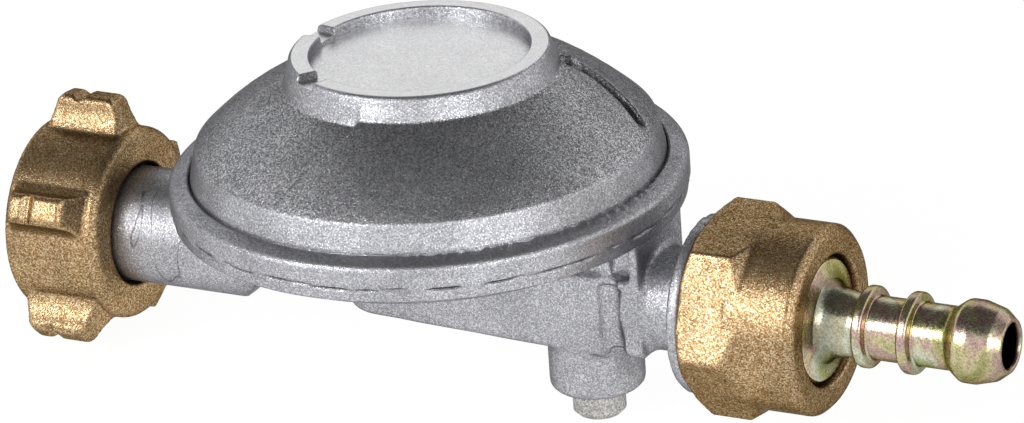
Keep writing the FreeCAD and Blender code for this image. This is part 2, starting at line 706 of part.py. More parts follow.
screw_holes = circles(body_casting, "ScrewCircles", "XY_Plane", [
    (screw_x, "screw_offset", "screw_radius"), (screw_x, "-screw_offset", "screw_radius")],
    "%s - %s" % (chamber_floor, screw_depth))
pulled(body_casting, screw_holes, "ScrewHoles", screw_depth, cut=True)

# The plug that closes the cross drilling, whose end is the regulator's foot
passage_plug = new_body("passage_plug", "%s + boss_station" % body_axis)
pieces.append(passage_plug)
plug_low = "(-boss_depth - plug_drop)"
profile = outline(passage_plug, "PlugProfile", "XZ_Plane", [
    ("0", plug_low),
    ("plug_radius - plug_bevel", plug_low),
    ("plug_radius", "%s + plug_bevel" % plug_low),
    ("plug_radius", "plug_insert - boss_depth"),
    ("0", "plug_insert - boss_depth"),
])
turned(passage_plug, profile, "Plug", "V_Axis")

# The brass nozzle in the well's wall
orifice_nozzle = new_body("orifice_nozzle", body_axis)
pieces.append(orifice_nozzle)
nozzle_tip = "(valve_station - valve_lift - valve_closed_gap)"
collar_front = "(nozzle_collar_thickness - well_start)"
profile = outline(orifice_nozzle, "NozzleProfile", "XZ_Plane", [
    (nozzle_back, "nozzle_bore_radius"),
    (nozzle_tip, "nozzle_bore_radius"),
    (nozzle_tip, "nozzle_tip_radius"),
    ("%s - nozzle_tip_taper" % nozzle_tip, "nozzle_barrel_radius"),
    (collar_front, "nozzle_barrel_radius"),
    (collar_front, "guide_radius - valve_guide_play"),
    ("-well_start", "guide_radius - valve_guide_play"),
    ("-well_start", "nozzle_thread_radius"),
    (nozzle_back, "nozzle_thread_radius"),
])
turned(orifice_nozzle, profile, "Nozzle")

# The valve plunger, which slides in the guide, and the rubber pad in its face
valve_plunger = new_body("valve_plunger", body_axis)
pieces.append(valve_plunger)
plunger_front = "(valve_station + pad_stand_out)"
plunger_radius = "(guide_radius - valve_guide_play)"
profile = outline(valve_plunger, "PlungerProfile", "XZ_Plane", [
    ("valve_station + pad_thickness", "0"),
    (plunger_end, "0"),
    (plunger_end, plunger_radius),
    (plunger_front, plunger_radius),
    (plunger_front, "pad_radius"),
    ("valve_station + pad_thickness", "pad_radius"),
])
turned(valve_plunger, profile, "Plunger")
slot = outline(valve_plunger, "ToeSlot", "XZ_Plane", box_points(
    "pivot_station - slot_width / 2", "-slot_depth", "pivot_station + slot_width / 2", "guide_radius + 1"))
pulled(valve_plunger, slot, "Slot", "4 * guide_radius", cut=True, middle=True)
tail_cut = outline(valve_plunger, "TailCut", "XZ_Plane", box_points(
    "pivot_station", "plunger_tail_height", "%s + 1" % plunger_end, "guide_radius + 1"))
pulled(valve_plunger, tail_cut, "TailFlat", "4 * guide_radius", cut=True, middle=True)
valve_pad = new_body("valve_pad", body_axis)
pieces.append(valve_pad)
turned(valve_pad, outline(valve_pad, "PadProfile", "XZ_Plane", box_points(
    "valve_station", "0", "valve_station + pad_thickness", "pad_radius")), "Pad")

# The lever: a fork that follows the diaphragm's stem, a hub on the pivot pin and a toe in the valve's slot
lever = new_body("lever", "%s + pivot_station" % body_axis, "pivot_height")
pieces.append(lever)
lever_width = "2 * lever_half_width"
hub = circles(lever, "HubCircle", "XZ_Plane", [("0", "0", "lever_hub_radius")])
pulled(lever, hub, "Hub", lever_width, middle=True)
leg = outline(lever, "LegSide", "XZ_Plane", box_points("-lever_leg_half", "-pivot_height", "lever_leg_half", "0"))
pulled(lever, leg, "Leg", lever_width, middle=True)
toe = circles(lever, "ToeCircle", "XZ_Plane", [("0", "-pivot_height", "lever_toe_radius")])
pulled(lever, toe, "Toe", lever_width, middle=True)
fork_tip = "(-pivot_station - lever_fork_reach)"
arm_half = "lever_arm_thickness / 2"
arm_height = "(stem_groove_centre - pivot_height)"
tip_height = "(%s - lever_fork_reach * lever_arm_slope)" % arm_height
bend_height = "(%s + (pivot_station - lever_bend) * lever_arm_slope)" % arm_height
arm = outline(lever, "ArmSide", "XZ_Plane", [
    (fork_tip, "%s - %s" % (tip_height, arm_half)),
    ("-lever_bend", "%s - %s" % (bend_height, arm_half)),
    ("-lever_hub_radius * 0.6", "0"),
    ("0", "0"),
    ("0", "lever_hub_radius"),
    ("-lever_bend", "%s + %s" % (bend_height, arm_half)),
    (fork_tip, "%s + %s" % (tip_height, arm_half)),
])
pulled(lever, arm, "Arm", lever_width, middle=True)
fork = outline(lever, "ForkGap", "XY_Plane", box_points(
    "%s - 1" % fork_tip, "-stem_neck_radius - fork_play",
    "%s + lever_fork_depth" % fork_tip, "stem_neck_radius + fork_play"))
pulled(lever, fork, "Fork", "4 * lever_hub_radius", cut=True, middle=True)
pin_hole = circles(lever, "PinCircle", "XZ_Plane", [("0", "0", "pivot_pin_radius + pivot_play")])
pulled(lever, pin_hole, "PinHole", "3 * lever_half_width", cut=True, middle=True)

# The bracket that carries the pivot: a strip on the chamber floor with two cheeks bent down into the well
lever_bracket = new_body("lever_bracket", body_axis)
pieces.append(lever_bracket)
cheek_inside = "(lever_half_width + bracket_play)"
cheek_front = "(pivot_station - cheek_length / 2)"
slot_end = "(pivot_station + bracket_slot)"
bracket_end = "(pivot_station + bracket_back)"
strip = outline(lever_bracket, "StripPlan", "XY_Plane", [
    (cheek_front, "-bracket_half_width"),
    (bracket_end, "-bracket_half_width"),
    (bracket_end, "bracket_half_width"),
    (cheek_front, "bracket_half_width"),
    (cheek_front, cheek_inside),
    (slot_end, cheek_inside),
    (slot_end, "-%s" % cheek_inside),
    (cheek_front, "-%s" % cheek_inside),
], chamber_floor)
pulled(lever_bracket, strip, "Strip", "bracket_thickness")
cheek_low = "(pivot_height - cheek_drop)"
for side, y0, y1 in (("Left", cheek_inside, "%s + bracket_thickness" % cheek_inside),
                     ("Right", "-%s - bracket_thickness" % cheek_inside, "-%s" % cheek_inside)):
    cheek = outline(lever_bracket, side + "CheekEnd", "YZ_Plane", box_points(
        y0, cheek_low, y1, "%s + bracket_thickness" % chamber_floor), cheek_front)
    pulled(lever_bracket, cheek, side + "Cheek", "cheek_length")
pin_holes = circles(lever_bracket, "PinCircle", "XZ_Plane", [("pivot_station", "pivot_height", "pivot_pin_radius")])
pulled(lever_bracket, pin_holes, "PinHoles", "2 * bracket_half_width", cut=True, middle=True)
screw_holes = circles(lever_bracket, "ScrewCircles", "XY_Plane", [
    (screw_x, "screw_offset", "screw_radius"), (screw_x, "-screw_offset", "screw_radius")], chamber_floor)
pulled(lever_bracket, screw_holes, "ScrewHoles", "bracket_thickness", cut=True)

# The pivot pin, riveted in the bracket's cheeks
lever_pin = new_body("lever_pin", "%s + pivot_station" % body_axis, "pivot_height")
pieces.append(lever_pin)
pin = circles(lever_pin, "PinCircle", "XZ_Plane", [("0", "0", "pivot_pin_radius")])
pulled(lever_pin, pin, "Pin", "2 * (%s + bracket_thickness + pin_stand_out)" % cheek_inside, middle=True)

# The two slotted screws that hold the bracket down
bracket_screws = doc.addObject("Part::Feature", "bracket_screws")
pieces.append(bracket_screws)
head_low = value("%s + bracket_thickness" % chamber_floor)
screws = []
for y in (value("screw_offset"), -value("screw_offset")):
    centre = Vector(value(screw_x), y, head_low)
    shank = Part.makeCylinder(value("screw_radius"), value("screw_length"), centre, Vector(0, 0, -1))
    head = Part.makeCylinder(value("screw_head_radius"), value("screw_head_height"), centre)
    slot_low = head_low + value("screw_head_height - screw_slot_depth")
    slot = Part.makeBox(value("screw_slot_width"), value("3 * screw_head_radius"), value("screw_head_height"),
                        Vector(centre.x - value("screw_slot_width / 2"), y - value("1.5 * screw_head_radius"), slot_low))
    screws.append(head.fuse(shank).cut(slot))
bracket_screws.Shape = Part.makeCompound(screws)
bracket_screws.Placement.Base = Vector(value(body_axis), 0, 0)

# The diaphragm's stem, a spool whose groove holds the lever's fork, riveted over the plate
diaphragm_stem = new_body("diaphragm_stem", body_axis)
pieces.append(diaphragm_stem)
groove_low = "(stem_groove_centre - stem_groove_height / 2)"
groove_high = "(stem_groove_centre + stem_groove_height / 2)"
washer_low = "(%s - washer_thickness)" % ledge_top
profile = outline(diaphragm_stem, "StemProfile", "XZ_Plane", [
    ("0", "%s - stem_head_thickness" % groove_low),
    ("stem_collar_radius", "%s - stem_head_thickness" % groove_low),
    ("stem_collar_radius", groove_low),
    ("stem_neck_radius", groove_low),
    ("stem_neck_radius", groove_high),
    ("stem_collar_radius", groove_high),
    ("stem_collar_radius", washer_low),
    ("stem_shank_radius", washer_low),
    ("stem_shank_radius", plate_top),
    ("stem_collar_radius", plate_top),
    ("stem_shank_radius", "%s + stem_rivet_height" % plate_top),
    ("0", "%s + stem_rivet_height" % plate_top),
])
turned(diaphragm_stem, profile, "Spool", "V_Axis")

# The washer under the diaphragm
diaphragm_washer = new_body("diaphragm_washer", body_axis)
pieces.append(diaphragm_washer)
turned(diaphragm_washer, outline(diaphragm_washer, "WasherProfile", "XZ_Plane", box_points(
    "stem_shank_radius", washer_low, "washer_radius", ledge_top)), "Washer", "V_Axis")

# The rubber diaphragm with one convolution, its edge clamped between the body and the cover
diaphragm = new_body("diaphragm", body_axis)
pieces.append(diaphragm)
fold_out = "(%s - convolution_inset)" % chamber_radius
fold_in = "(%s - convolution_width)" % fold_out


def fold_points(base, order):
    """One side of the membrane's ring-shaped fold, from the inside out or the outside in."""
    crest = "%s + convolution_height" % base
    corners = [(fold_in, base), ("%s + convolution_flank" % fold_in, crest),
               ("%s - convolution_flank" % fold_out, crest), (fold_out, base)]
    return corners[::order]


profile = outline(diaphragm, "DiaphragmProfile", "XZ_Plane", [("stem_shank_radius", ledge_top)]
                  + fold_points(ledge_top, 1) + [(rim_radius, ledge_top), (rim_radius, diaphragm_top)]
                  + fold_points(diaphragm_top, -1) + [("stem_shank_radius", diaphragm_top)])
turned(diaphragm, profile, "Membrane", "V_Axis")

# The pressed plate on the diaphragm, with a turned-up edge and a rib inside the spring
diaphragm_plate = new_body("diaphragm_plate", body_axis)
pieces.append(diaphragm_plate)
rib_outside = "(spring_radius - spring_wire_radius - plate_rib_gap)"
plate_radius = "(%s - plate_inset)" % fold_in
profile = outline(diaphragm_plate, "PlateProfile", "XZ_Plane", [
    ("stem_shank_radius", diaphragm_top),
    (plate_radius, diaphragm_top),
    (plate_radius, "%s + plate_edge_height" % diaphragm_top),
    ("%s - plate_thickness" % plate_radius, "%s + plate_edge_height" % diaphragm_top),
    ("%s - plate_thickness" % plate_radius, plate_top),
    (rib_outside, plate_top),
    (rib_outside, "%s + plate_rib_height" % plate_top),
    ("%s - plate_rib_width" % rib_outside, "%s + plate_rib_height" % plate_top),
    ("%s - plate_rib_width" % rib_outside, plate_top),
    ("stem_shank_radius", plate_top),
])
turned(diaphragm_plate, profile, "Plate", "V_Axis")

# The die-cast cover: a rim under the crimped lip, a steep band, a bulged cone and the cap's boss
cover_casting = new_body("cover_casting", body_axis)
pieces.append(cover_casting)
band_foot_radius = "(%s - cover_gap)" % lip_radius
foot_radius = "(cap_boss_radius + cap_boss_draft)"
skirt_radius = "(%s + ring_skirt_wall)" % ring_radius
skirt_low = "(%s - ring_skirt_extra)" % ring_bottom
profile = outline(cover_casting, "CoverProfile", "XZ_Plane", [
    (chamber_radius, diaphragm_top),
    (rim_radius, diaphragm_top),
    (rim_radius, "%s - cover_rim_bevel / 2" % rim_top),
    ("%s - cover_rim_bevel" % rim_radius, rim_top),
    (band_foot_radius, rim_top),
    (band_foot_radius, lip_top),
    ("%s - band_draft" % band_foot_radius, band_top),
    ("%s + boss_foot_bevel" % foot_radius, cap_boss_foot, "cone_bulge_radius", 1),
    (foot_radius, "%s + boss_foot_bevel" % cap_boss_foot),
    ("cap_boss_radius", "%s - cap_rim_bevel" % cap_boss_top),
    ("cap_boss_radius - cap_rim_bevel", cap_boss_top),
    ("%s + cap_rim_bevel / 2" % cap_recess_radius, cap_boss_top),
    (cap_recess_radius, "%s - cap_rim_bevel" % cap_boss_top),
    (cap_recess_radius, cap_bottom),
    (ring_radius, cap_bottom),
    (ring_radius, skirt_low),
    (skirt_radius, skirt_low),
    (skirt_radius, "%s - cover_wall" % cap_boss_foot),
    (chamber_radius, "%s - cover_wall" % band_top),
])
turned(cover_casting, profile, "Shell", "V_Axis")
sector = "(cap_boss_radius + cap_rim_width)"
for name, start in (("Left", "left_notch_start"), ("Front", "front_notch_start")):
    end = "(%s + notch_sweep)" % start
    notch = outline(cover_casting, name + "NotchPlan", "XY_Plane", [
        ("0", "0"),
        ("%s * cos(%s * 1deg)" % (sector, start), "%s * sin(%s * 1deg)" % (sector, start)),
        ("%s * cos(%s * 1deg)" % (sector, end), "%s * sin(%s * 1deg)" % (sector, end), sector, 1),
    ], "%s - notch_drop" % cap_boss_top)
    pulled(cover_casting, notch, name + "Notch", "2 * notch_drop", cut=True)

# The cap plate pressed into the boss, and the threaded ring below it that sets the spring
spring_cap = new_body("spring_cap", body_axis)
pieces.append(spring_cap)
cap = circles(spring_cap, "CapCircle", "XY_Plane", [("0", "0", cap_recess_radius)], cap_bottom)
pulled(spring_cap, cap, "Cap", "cap_thickness")
adjusting_ring = new_body("adjusting_ring", body_axis)
pieces.append(adjusting_ring)
ring = circles(adjusting_ring, "RingCircle", "XY_Plane", [("0", "0", ring_radius)], ring_bottom)
pulled(adjusting_ring, ring, "Ring", "ring_thickness")


def hex_points(flats):
    """The corners of a hexagon with a corner on the sketch's upright axis."""
    return [("%s * %s" % (flats, across), "%s / sqrt(3) * %s" % (flats, up)) for across, up in
            (("0", "-1"), ("0.5", "-0.5"), ("0.5", "0.5"), ("0", "1"), ("-0.5", "0.5"), ("-0.5", "-0.5"))]


key_hole = outline(adjusting_ring, "KeyHex", "XY_Plane", hex_points("(ring_hex_radius * sqrt(3))"), ring_bottom)
pulled(adjusting_ring, key_hole, "KeyHole", "ring_thickness", cut=True)

# The main spring between the plate and the ring: half turns, each half a ring in its own tilted plane
main_spring = doc.addObject("Part::Feature", "main_spring")
pieces.append(main_spring)
wire_radius = value("spring_wire_radius")
coil_radius = value("spring_radius")
half_turns = int(2 * value("spring_turns"))
spring_low = value("%s + spring_wire_radius" % plate_top)
rise = (value("%s - spring_wire_radius" % ring_bottom) - spring_low) / half_turns
rings = []
for i in range(half_turns):
    side = 1 if i % 2 == 0 else -1
    low = spring_low + i * rise
    start = Vector(side * coil_radius, 0, low)
    end = Vector(-side * coil_radius, 0, low + rise)
    wire_end = Part.Face(Part.Wire(Part.Circle(start, Vector(0, 1, 0), wire_radius).toShape()))
    upright = Vector(rise, 0, 2 * side * coil_radius) * side
    rings.append(wire_end.revolve((start + end) / 2, upright, 180))
main_spring.Shape = rings[0].multiFuse(rings[1:])
main_spring.Placement.Base = Vector(value(body_axis), 0, 0)
print("spring gap between turns %.2f mm" % (2 * rise - 2 * wire_radius))

# The outlet gasket between the stub and the hose tail's flange
outlet_gasket = new_body("outlet_gasket", "%s + %s" % (body_axis, stub_end))
pieces.append(outlet_gasket)
turned(outlet_gasket, outline(outlet_gasket, "GasketProfile", "XZ_Plane", box_points(
    "0", "gasket_bore_radius", "gasket_thickness", "stub_radius - gasket_inset")), "Gasket")

# The hose tail: flange in the nut, collar in its mouth, flared shaft, two ribs and a bulb
hose_tail = new_body("hose_tail", body_axis)
pieces.append(hose_tail)
collar_end = "(%s + tail_collar_stand)" % tail_flange_end
collar_edge = "(%s - tail_collar_crown)" % collar_end
tail_collar_radius = "(outlet_hole_radius - tail_collar_play)"
bulb_start = "(%s + bulb_station)" % collar_end
bulb_full = "(%s + bulb_rise_length)" % bulb_start
land_end = "(%s + bulb_land)" % bulb_full
tail_end = "(%s + bulb_nose_length)" % land_end
nose_drop = "(bulb_radius - mouth_radius)"
nose_radius = "((bulb_nose_length ^ 2 + %s ^ 2) / (2 * %s))" % (nose_drop, nose_drop)


def rib_points(number):
    """One ring round the shaft, with rounded shoulders."""
    middle = "(%s + rib_station + rib_pitch * %d)" % (collar_end, number)
    back, front = "(%s - rib_width / 2)" % middle, "(%s + rib_width / 2)" % middle
    return [(front, "tail_shaft_radius"),
            ("%s - rib_flank" % front, "rib_radius - rib_bevel"),
            ("%s - rib_flank - rib_bevel" % front, "rib_radius"),
            ("%s + rib_flank + rib_bevel" % back, "rib_radius"),
            ("%s + rib_flank" % back, "rib_radius - rib_bevel"),
            (back, "tail_shaft_radius")]


profile = outline(hose_tail, "TailProfile", "XZ_Plane", [
    (gasket_end, "tail_bore_radius"),
    (tail_end, "tail_bore_radius"),
    (tail_end, "mouth_radius"),
    (land_end, "bulb_radius", nose_radius, 1),
    (bulb_full, "bulb_radius"),
    ("%s + bulb_rise_length / 3" % bulb_start, "bulb_radius - bulb_shoulder"),
    (bulb_start, "tail_shaft_radius"),
] + rib_points(1) + rib_points(0) + [
    ("%s + tail_flare_length" % collar_end, "tail_shaft_radius"),
    (collar_end, "tail_flare_foot", "tail_flare_round", -1),
    (collar_edge, "%s - tail_collar_bevel" % tail_collar_radius),
    ("%s - tail_collar_bevel" % collar_edge, tail_collar_radius),
    (tail_flange_end, tail_collar_radius),
    (tail_flange_end, "%s - tail_flange_play" % outlet_thread_radius),
    (gasket_end, "%s - tail_flange_play" % outlet_thread_radius),
])
turned(hose_tail, profile, "Tail")

# The forged outlet nut: hexagon, round collar, threaded bore and the lip that draws the flange in
outlet_nut = new_body("outlet_nut", body_axis, turn="hex_turn")
pieces.append(outlet_nut)
nut_start = "(%s + axial_play)" % stub_back
hex_end = "(%s + hex_length)" % nut_start
hexagon = outline(outlet_nut, "HexPlan", "YZ_Plane", hex_points("hex_across_flats"), nut_start)
pulled(outlet_nut, hexagon, "Hexagon", "hex_length + hex_front_bevel")
corner = "(hex_across_flats / sqrt(3))"
back_bevel = outline(outlet_nut, "HexBackBevel", "XZ_Plane", [
    ("%s - hex_back_bevel / 2" % nut_start, "%s - 1.5 * hex_back_drop" % corner),
    ("%s + 1.5 * hex_back_bevel" % nut_start, "%s + hex_back_drop / 2" % corner),
    ("%s - hex_back_bevel / 2" % nut_start, "%s + hex_back_drop / 2" % corner),
])
turned(outlet_nut, back_bevel, "HexBackCut", cut=True)
front_end = "(%s + hex_front_bevel)" % hex_end
front_bevel = outline(outlet_nut, "HexFrontBevel", "XZ_Plane", [
    (hex_end, corner),
    (front_end, "collar_radius"),
    ("%s + 1" % front_end, "collar_radius"),
    ("%s + 1" % front_end, "%s + 1" % corner),
    (hex_end, "%s + 1" % corner),
])
turned(outlet_nut, front_bevel, "HexFrontCut", cut=True)
collar = outline(outlet_nut, "CollarProfile", "XZ_Plane", [
    (hex_end, "0"),
    (outlet_nut_end, "0"),
    (outlet_nut_end, "collar_radius - collar_bevel"),
    ("%s - collar_bevel" % outlet_nut_end, "collar_radius"),
    (hex_end, "collar_radius"),
])
turned(outlet_nut, collar, "Collar")
relief_start = "(%s - outlet_relief_length)" % tail_flange_end
bore = outline(outlet_nut, "BoreProfile", "XZ_Plane", [
    (nut_start, "0"),
    (outlet_nut_end, "0"),
    (outlet_nut_end, "outlet_hole_radius"),
    ("%s + axial_play" % tail_flange_end, "outlet_hole_radius"),
    ("%s + axial_play" % tail_flange_end, "%s + outlet_relief_depth" % outlet_thread_radius),
    (relief_start, "%s + outlet_relief_depth" % outlet_thread_radius),
    (relief_start, outlet_thread_radius),
    (nut_start, outlet_thread_radius),
])
turned(outlet_nut, bore, "Bore", cut=True)

doc.recompute()
faults = [item.Name for item in doc.Objects if "Invalid" in item.State or "Error" in item.State]
faults += [item.Label for item in pieces if item.Shape.isNull() or not item.Shape.isValid()]
if faults:
    raise RuntimeError("failed: " + ", ".join(faults))
os.makedirs("parts", exist_ok=True)
for item in pieces:
    item.Shape.exportStep("parts/%s.step" % item.Label)
    print("%-18s %9.2f mm3 %d solid(s)" % (item.Label, item.Shape.Volume, len(item.Shape.Solids)))
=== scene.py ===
import math

import bmesh
import bpy
from mathutils import Matrix, Vector, noise


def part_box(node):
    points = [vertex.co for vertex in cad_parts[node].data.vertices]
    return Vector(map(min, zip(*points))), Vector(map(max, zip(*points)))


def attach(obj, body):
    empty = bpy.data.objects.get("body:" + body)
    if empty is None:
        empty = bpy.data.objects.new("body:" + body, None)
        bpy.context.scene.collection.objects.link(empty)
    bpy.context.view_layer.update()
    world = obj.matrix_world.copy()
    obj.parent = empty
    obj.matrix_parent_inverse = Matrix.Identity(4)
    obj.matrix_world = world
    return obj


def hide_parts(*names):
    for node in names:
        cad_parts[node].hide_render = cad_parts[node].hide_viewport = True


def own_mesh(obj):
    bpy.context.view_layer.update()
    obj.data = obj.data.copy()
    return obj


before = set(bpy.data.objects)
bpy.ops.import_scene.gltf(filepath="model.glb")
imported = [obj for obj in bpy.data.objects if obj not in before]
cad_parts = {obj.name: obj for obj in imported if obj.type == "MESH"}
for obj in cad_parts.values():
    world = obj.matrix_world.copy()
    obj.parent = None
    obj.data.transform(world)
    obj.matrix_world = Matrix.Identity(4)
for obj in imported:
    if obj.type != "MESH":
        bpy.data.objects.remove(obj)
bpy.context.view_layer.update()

# Camera
# A long lens looks down on the regulator from the outlet side, a little rolled, as the catalogue
# picture was taken. It aims at the middle of the diaphragm housing.
HOUSING_X = 0.0617
AIM = Vector((HOUSING_X, 0.0, 0.00975))
CAMERA_TURN = 29.26
CAMERA_HEIGHT = 22.896
CAMERA_DISTANCE = 0.99796
CAMERA_YAW = 0.7255
CAMERA_PITCH = 0.2486
CAMERA_ROLL = -4.4463
FOCAL_PIXELS = 7225.5
PHOTO_WIDTH = 1024
PHOTO_HEIGHT = 423
CENTRE_PIXEL = (525.05, 224.22)
SENSOR_WIDTH = 36
FAR_CLIP = 10


def camera_axes():
    """The direction back to the camera, and its right, down and forward directions as a matrix's rows."""
    turn = math.radians(CAMERA_TURN)
    height = math.radians(CAMERA_HEIGHT)
    back = Vector((math.sin(turn) * math.cos(height), -math.cos(turn) * math.cos(height), math.sin(height)))
    right = (-back).cross(Vector((0, 0, 1))).normalized()
    up = right.cross(-back)
    yaw = Matrix.Rotation(-math.radians(CAMERA_YAW), 3, "Y")
    pitch = Matrix.Rotation(math.radians(CAMERA_PITCH), 3, "X")
    roll = Matrix.Rotation(math.radians(CAMERA_ROLL), 3, "Z")
    return back, roll @ pitch @ yaw @ Matrix((right, -up, -back))


back, axes = camera_axes()
lens = bpy.data.cameras.new("camera")
lens.sensor_width = SENSOR_WIDTH
lens.lens = lens.sensor_width * FOCAL_PIXELS / PHOTO_WIDTH
lens.shift_x = (PHOTO_WIDTH / 2 - CENTRE_PIXEL[0]) / PHOTO_WIDTH
lens.shift_y = (CENTRE_PIXEL[1] - PHOTO_HEIGHT / 2) / PHOTO_WIDTH
lens.clip_end = FAR_CLIP
camera = bpy.data.objects.new("camera", lens)
camera.matrix_world = Matrix.LocRotScale(
    AIM + back * CAMERA_DISTANCE, Matrix((axes[0], -axes[1], -axes[2])).transposed().to_quaternion(), None)
bpy.context.scene.collection.objects.link(camera)
bpy.context.scene.camera = camera
bpy.context.scene.view_settings.view_transform = "Standard"


# Studio
# A white cove all round with a dark ceiling, so that metal facing the sides shines and metal facing
# forward goes dark. A low dark card behind darkens the edges that turn away, as the table does at
# the back right. The table is tilted to touch the inlet nut's lugs and the foot.
COVE_LEVEL = 1.0
CEILING_LEVEL = 0.11
CEILING_HEIGHTS = (0.56, 0.78)
AWAY = (-0.489, 0.872, 0.0)
CARD_LEVEL = 0.40
CARD_SIDES = (0.1, 0.7)
CARD_HEIGHTS = (0.13, 0.30)
LAMP_AIM = (0.06, 0, 0.01)
TABLE_SIZE = 3.0
TABLE_WHITE = (0.82, 0.82, 0.82, 1)
TABLE_GLOW = 1.06
TABLE_SHARE = 0.9
TABLE_FAR_SHARE = 0.35
BACK_RIGHT = (0.485, 0.875, 0.0)
TABLE_FADE = (0.0, 0.07)


def add(tree, kind, settings=None, **inputs):
    """A shader node with its settings, and its inputs given as values or as sockets to link."""
    made = tree.nodes.new("ShaderNode" + kind)
    for name, value in (settings or {}).items():
        setattr(made, name, value)
    for name, value in inputs.items():
        socket = made.inputs[int(name[1:])] if name[0] == "_" else made.inputs[name.replace("_", " ")]
        if isinstance(value, bpy.types.NodeSocket):
            tree.links.new(value, socket)
        else:
            socket.default_value = value
    return made


def ranged(tree, value, span, result=(0.0, 1.0), smooth=False):
    """A value mapped from one span to another and held at both ends."""
    settings = {"interpolation_type": "SMOOTHSTEP"} if smooth else None
    return add(tree, "MapRange", settings, Value=value, From_Min=span[0], From_Max=span[1],
               To_Min=result[0], To_Max=result[1]).outputs["Result"]


def times(tree, one, other):
    """The product of two numbers or sockets."""
    return add(tree, "Math", {"operation": "MULTIPLY"}, _0=one, _1=other).outputs["Value"]


def along(tree, place, direction):
    """How far a place lies along a direction."""
    return add(tree, "VectorMath", {"operation": "DOT_PRODUCT"}, _0=place, _1=direction).outputs["Value"]


world = bpy.data.worlds.new("studio")
bpy.context.scene.world = world
world.use_nodes = True
tree = world.node_tree
tree.nodes.clear()
direction = add(tree, "TexCoord").outputs["Generated"]
height = add(tree, "SeparateXYZ", Vector=direction).outputs["Z"]
cove = ranged(tree, height, CEILING_HEIGHTS, (COVE_LEVEL, CEILING_LEVEL), smooth=True)
facing = ranged(tree, along(tree, direction, AWAY), CARD_SIDES, smooth=True)
low = ranged(tree, height, CARD_HEIGHTS, (1.0, 0.0), smooth=True)
carded = add(tree, "Mix", Factor=times(tree, facing, low), A=cove, B=CARD_LEVEL).outputs["Result"]
seen = add(tree, "LightPath").outputs["Is Camera Ray"]
level = add(tree, "Mix", Factor=seen, A=carded, B=COVE_LEVEL).outputs["Result"]
studio = add(tree, "Background", Color=(1, 1, 1, 1), Strength=level)
tree.links.new(studio.outputs["Background"], add(tree, "OutputWorld").inputs["Surface"])


def lamp(name, place, size, power):
    """A soft rectangular lamp at a place, turned to the regulator."""
    light = bpy.data.lights.new(name, "AREA")
    light.shape = "RECTANGLE"
    light.size, light.size_y = size
    light.energy = power
    holder = bpy.data.objects.new(name, light)
    gaze = Vector(LAMP_AIM) - Vector(place)
    holder.matrix_world = Matrix.LocRotScale(Vector(place), gaze.to_track_quat("-Z", "Y"), None)
    bpy.context.scene.collection.objects.link(holder)


lamp("key", (-0.25, -0.75, 0.42), (0.30, 0.30), 3.0)
lamp("fill", (0.75, -0.45, 0.25), (0.25, 0.35), 1.3)


def new_material(name):
    """A node material with nothing in it yet, and its tree."""
    made = bpy.data.materials.new(name)
    made.use_nodes = True
    made.node_tree.nodes.clear()
    return made, made.node_tree


nut_low, nut_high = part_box("inlet_nut")
foot_low, foot_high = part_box("passage_plug")
nut_foot = Vector(((nut_low.x + nut_high.x) / 2, 0, nut_low.z))
plug_foot = Vector(((foot_low.x + foot_high.x) / 2, 0, foot_low.z))
slope = math.atan2(plug_foot.z - nut_foot.z, plug_foot.x - nut_foot.x)
bpy.ops.mesh.primitive_plane_add(size=TABLE_SIZE)
table = bpy.context.object
table.name = "table"
table.matrix_world = Matrix.Translation((nut_foot + plug_foot) / 2) @ Matrix.Rotation(-slope, 4, "Y")
white, tree = new_material("white_table")
paint = add(tree, "BsdfDiffuse", Color=TABLE_WHITE).outputs["BSDF"]
glow = add(tree, "Emission", Color=(1, 1, 1, 1), Strength=TABLE_GLOW).outputs["Emission"]
ray = add(tree, "LightPath").outputs
behind = along(tree, add(tree, "TexCoord").outputs["Object"], BACK_RIGHT)
mirrored = ranged(tree, behind, TABLE_FADE, (TABLE_SHARE, TABLE_FAR_SHARE), smooth=True)
mirrored = times(tree, mirrored, ray["Is Glossy Ray"])
share = add(tree, "Mix", Factor=ray["Is Camera Ray"], A=mirrored, B=TABLE_SHARE).outputs["Result"]
shown = add(tree, "MixShader", Fac=share, _1=paint, _2=glow).outputs["Shader"]
tree.links.new(shown, add(tree, "OutputMaterial").inputs["Surface"])
table.data.materials.append(white)


# Lower casting
# A zinc pressure casting: inlet stem, dish, crimped flange, keel and outlet neck in one piece. Its
# skin is shot-blasted, which covers it with pale and dark grains a sixth of a millimetre wide. The
# flange is drawn in a little here, under the ring of the next section.
MM = 0.001
BLASTED = ((0.17, 0.17, 0.184, 1), (0.41, 0.41, 0.44, 1), (0.98, 0.98, 1.0, 1))
# The last entry lifts the colour of upright faces as painted light.
BLAST = {"grain": 0.16, "bump": 0.025, "rough": (0.26, 0.46), "rim": 0.2, "metallic": 0.95, "wall_light_lift": 0.14}
SHADE_STOPS = (0.18, 0.52, 0.86)
WALL_CALM = 0.45
WALL_SHADE = 0.54
SEAM_SHADE_LEVEL = 0.10
MARK_STRETCH = (210.0, 60.0, 60.0)
MARK_HALF_WIDTH = 0.012
MARK_DARKNESS = 0.65
STEM_END = (0.028, 0.034)
WELD = 0.0005
LUMP_SCALES = (420, 1100)
FLANGE_OUTSIDE = 35.75
FLANGE_NEAR = 36.2
FLANGE_BOTTOM = 9.5
FLANGE_SINK = 0.9
LIP_INSIDE = 30
LIP_LEVEL = 15.1
LIP_SINK = 0.7


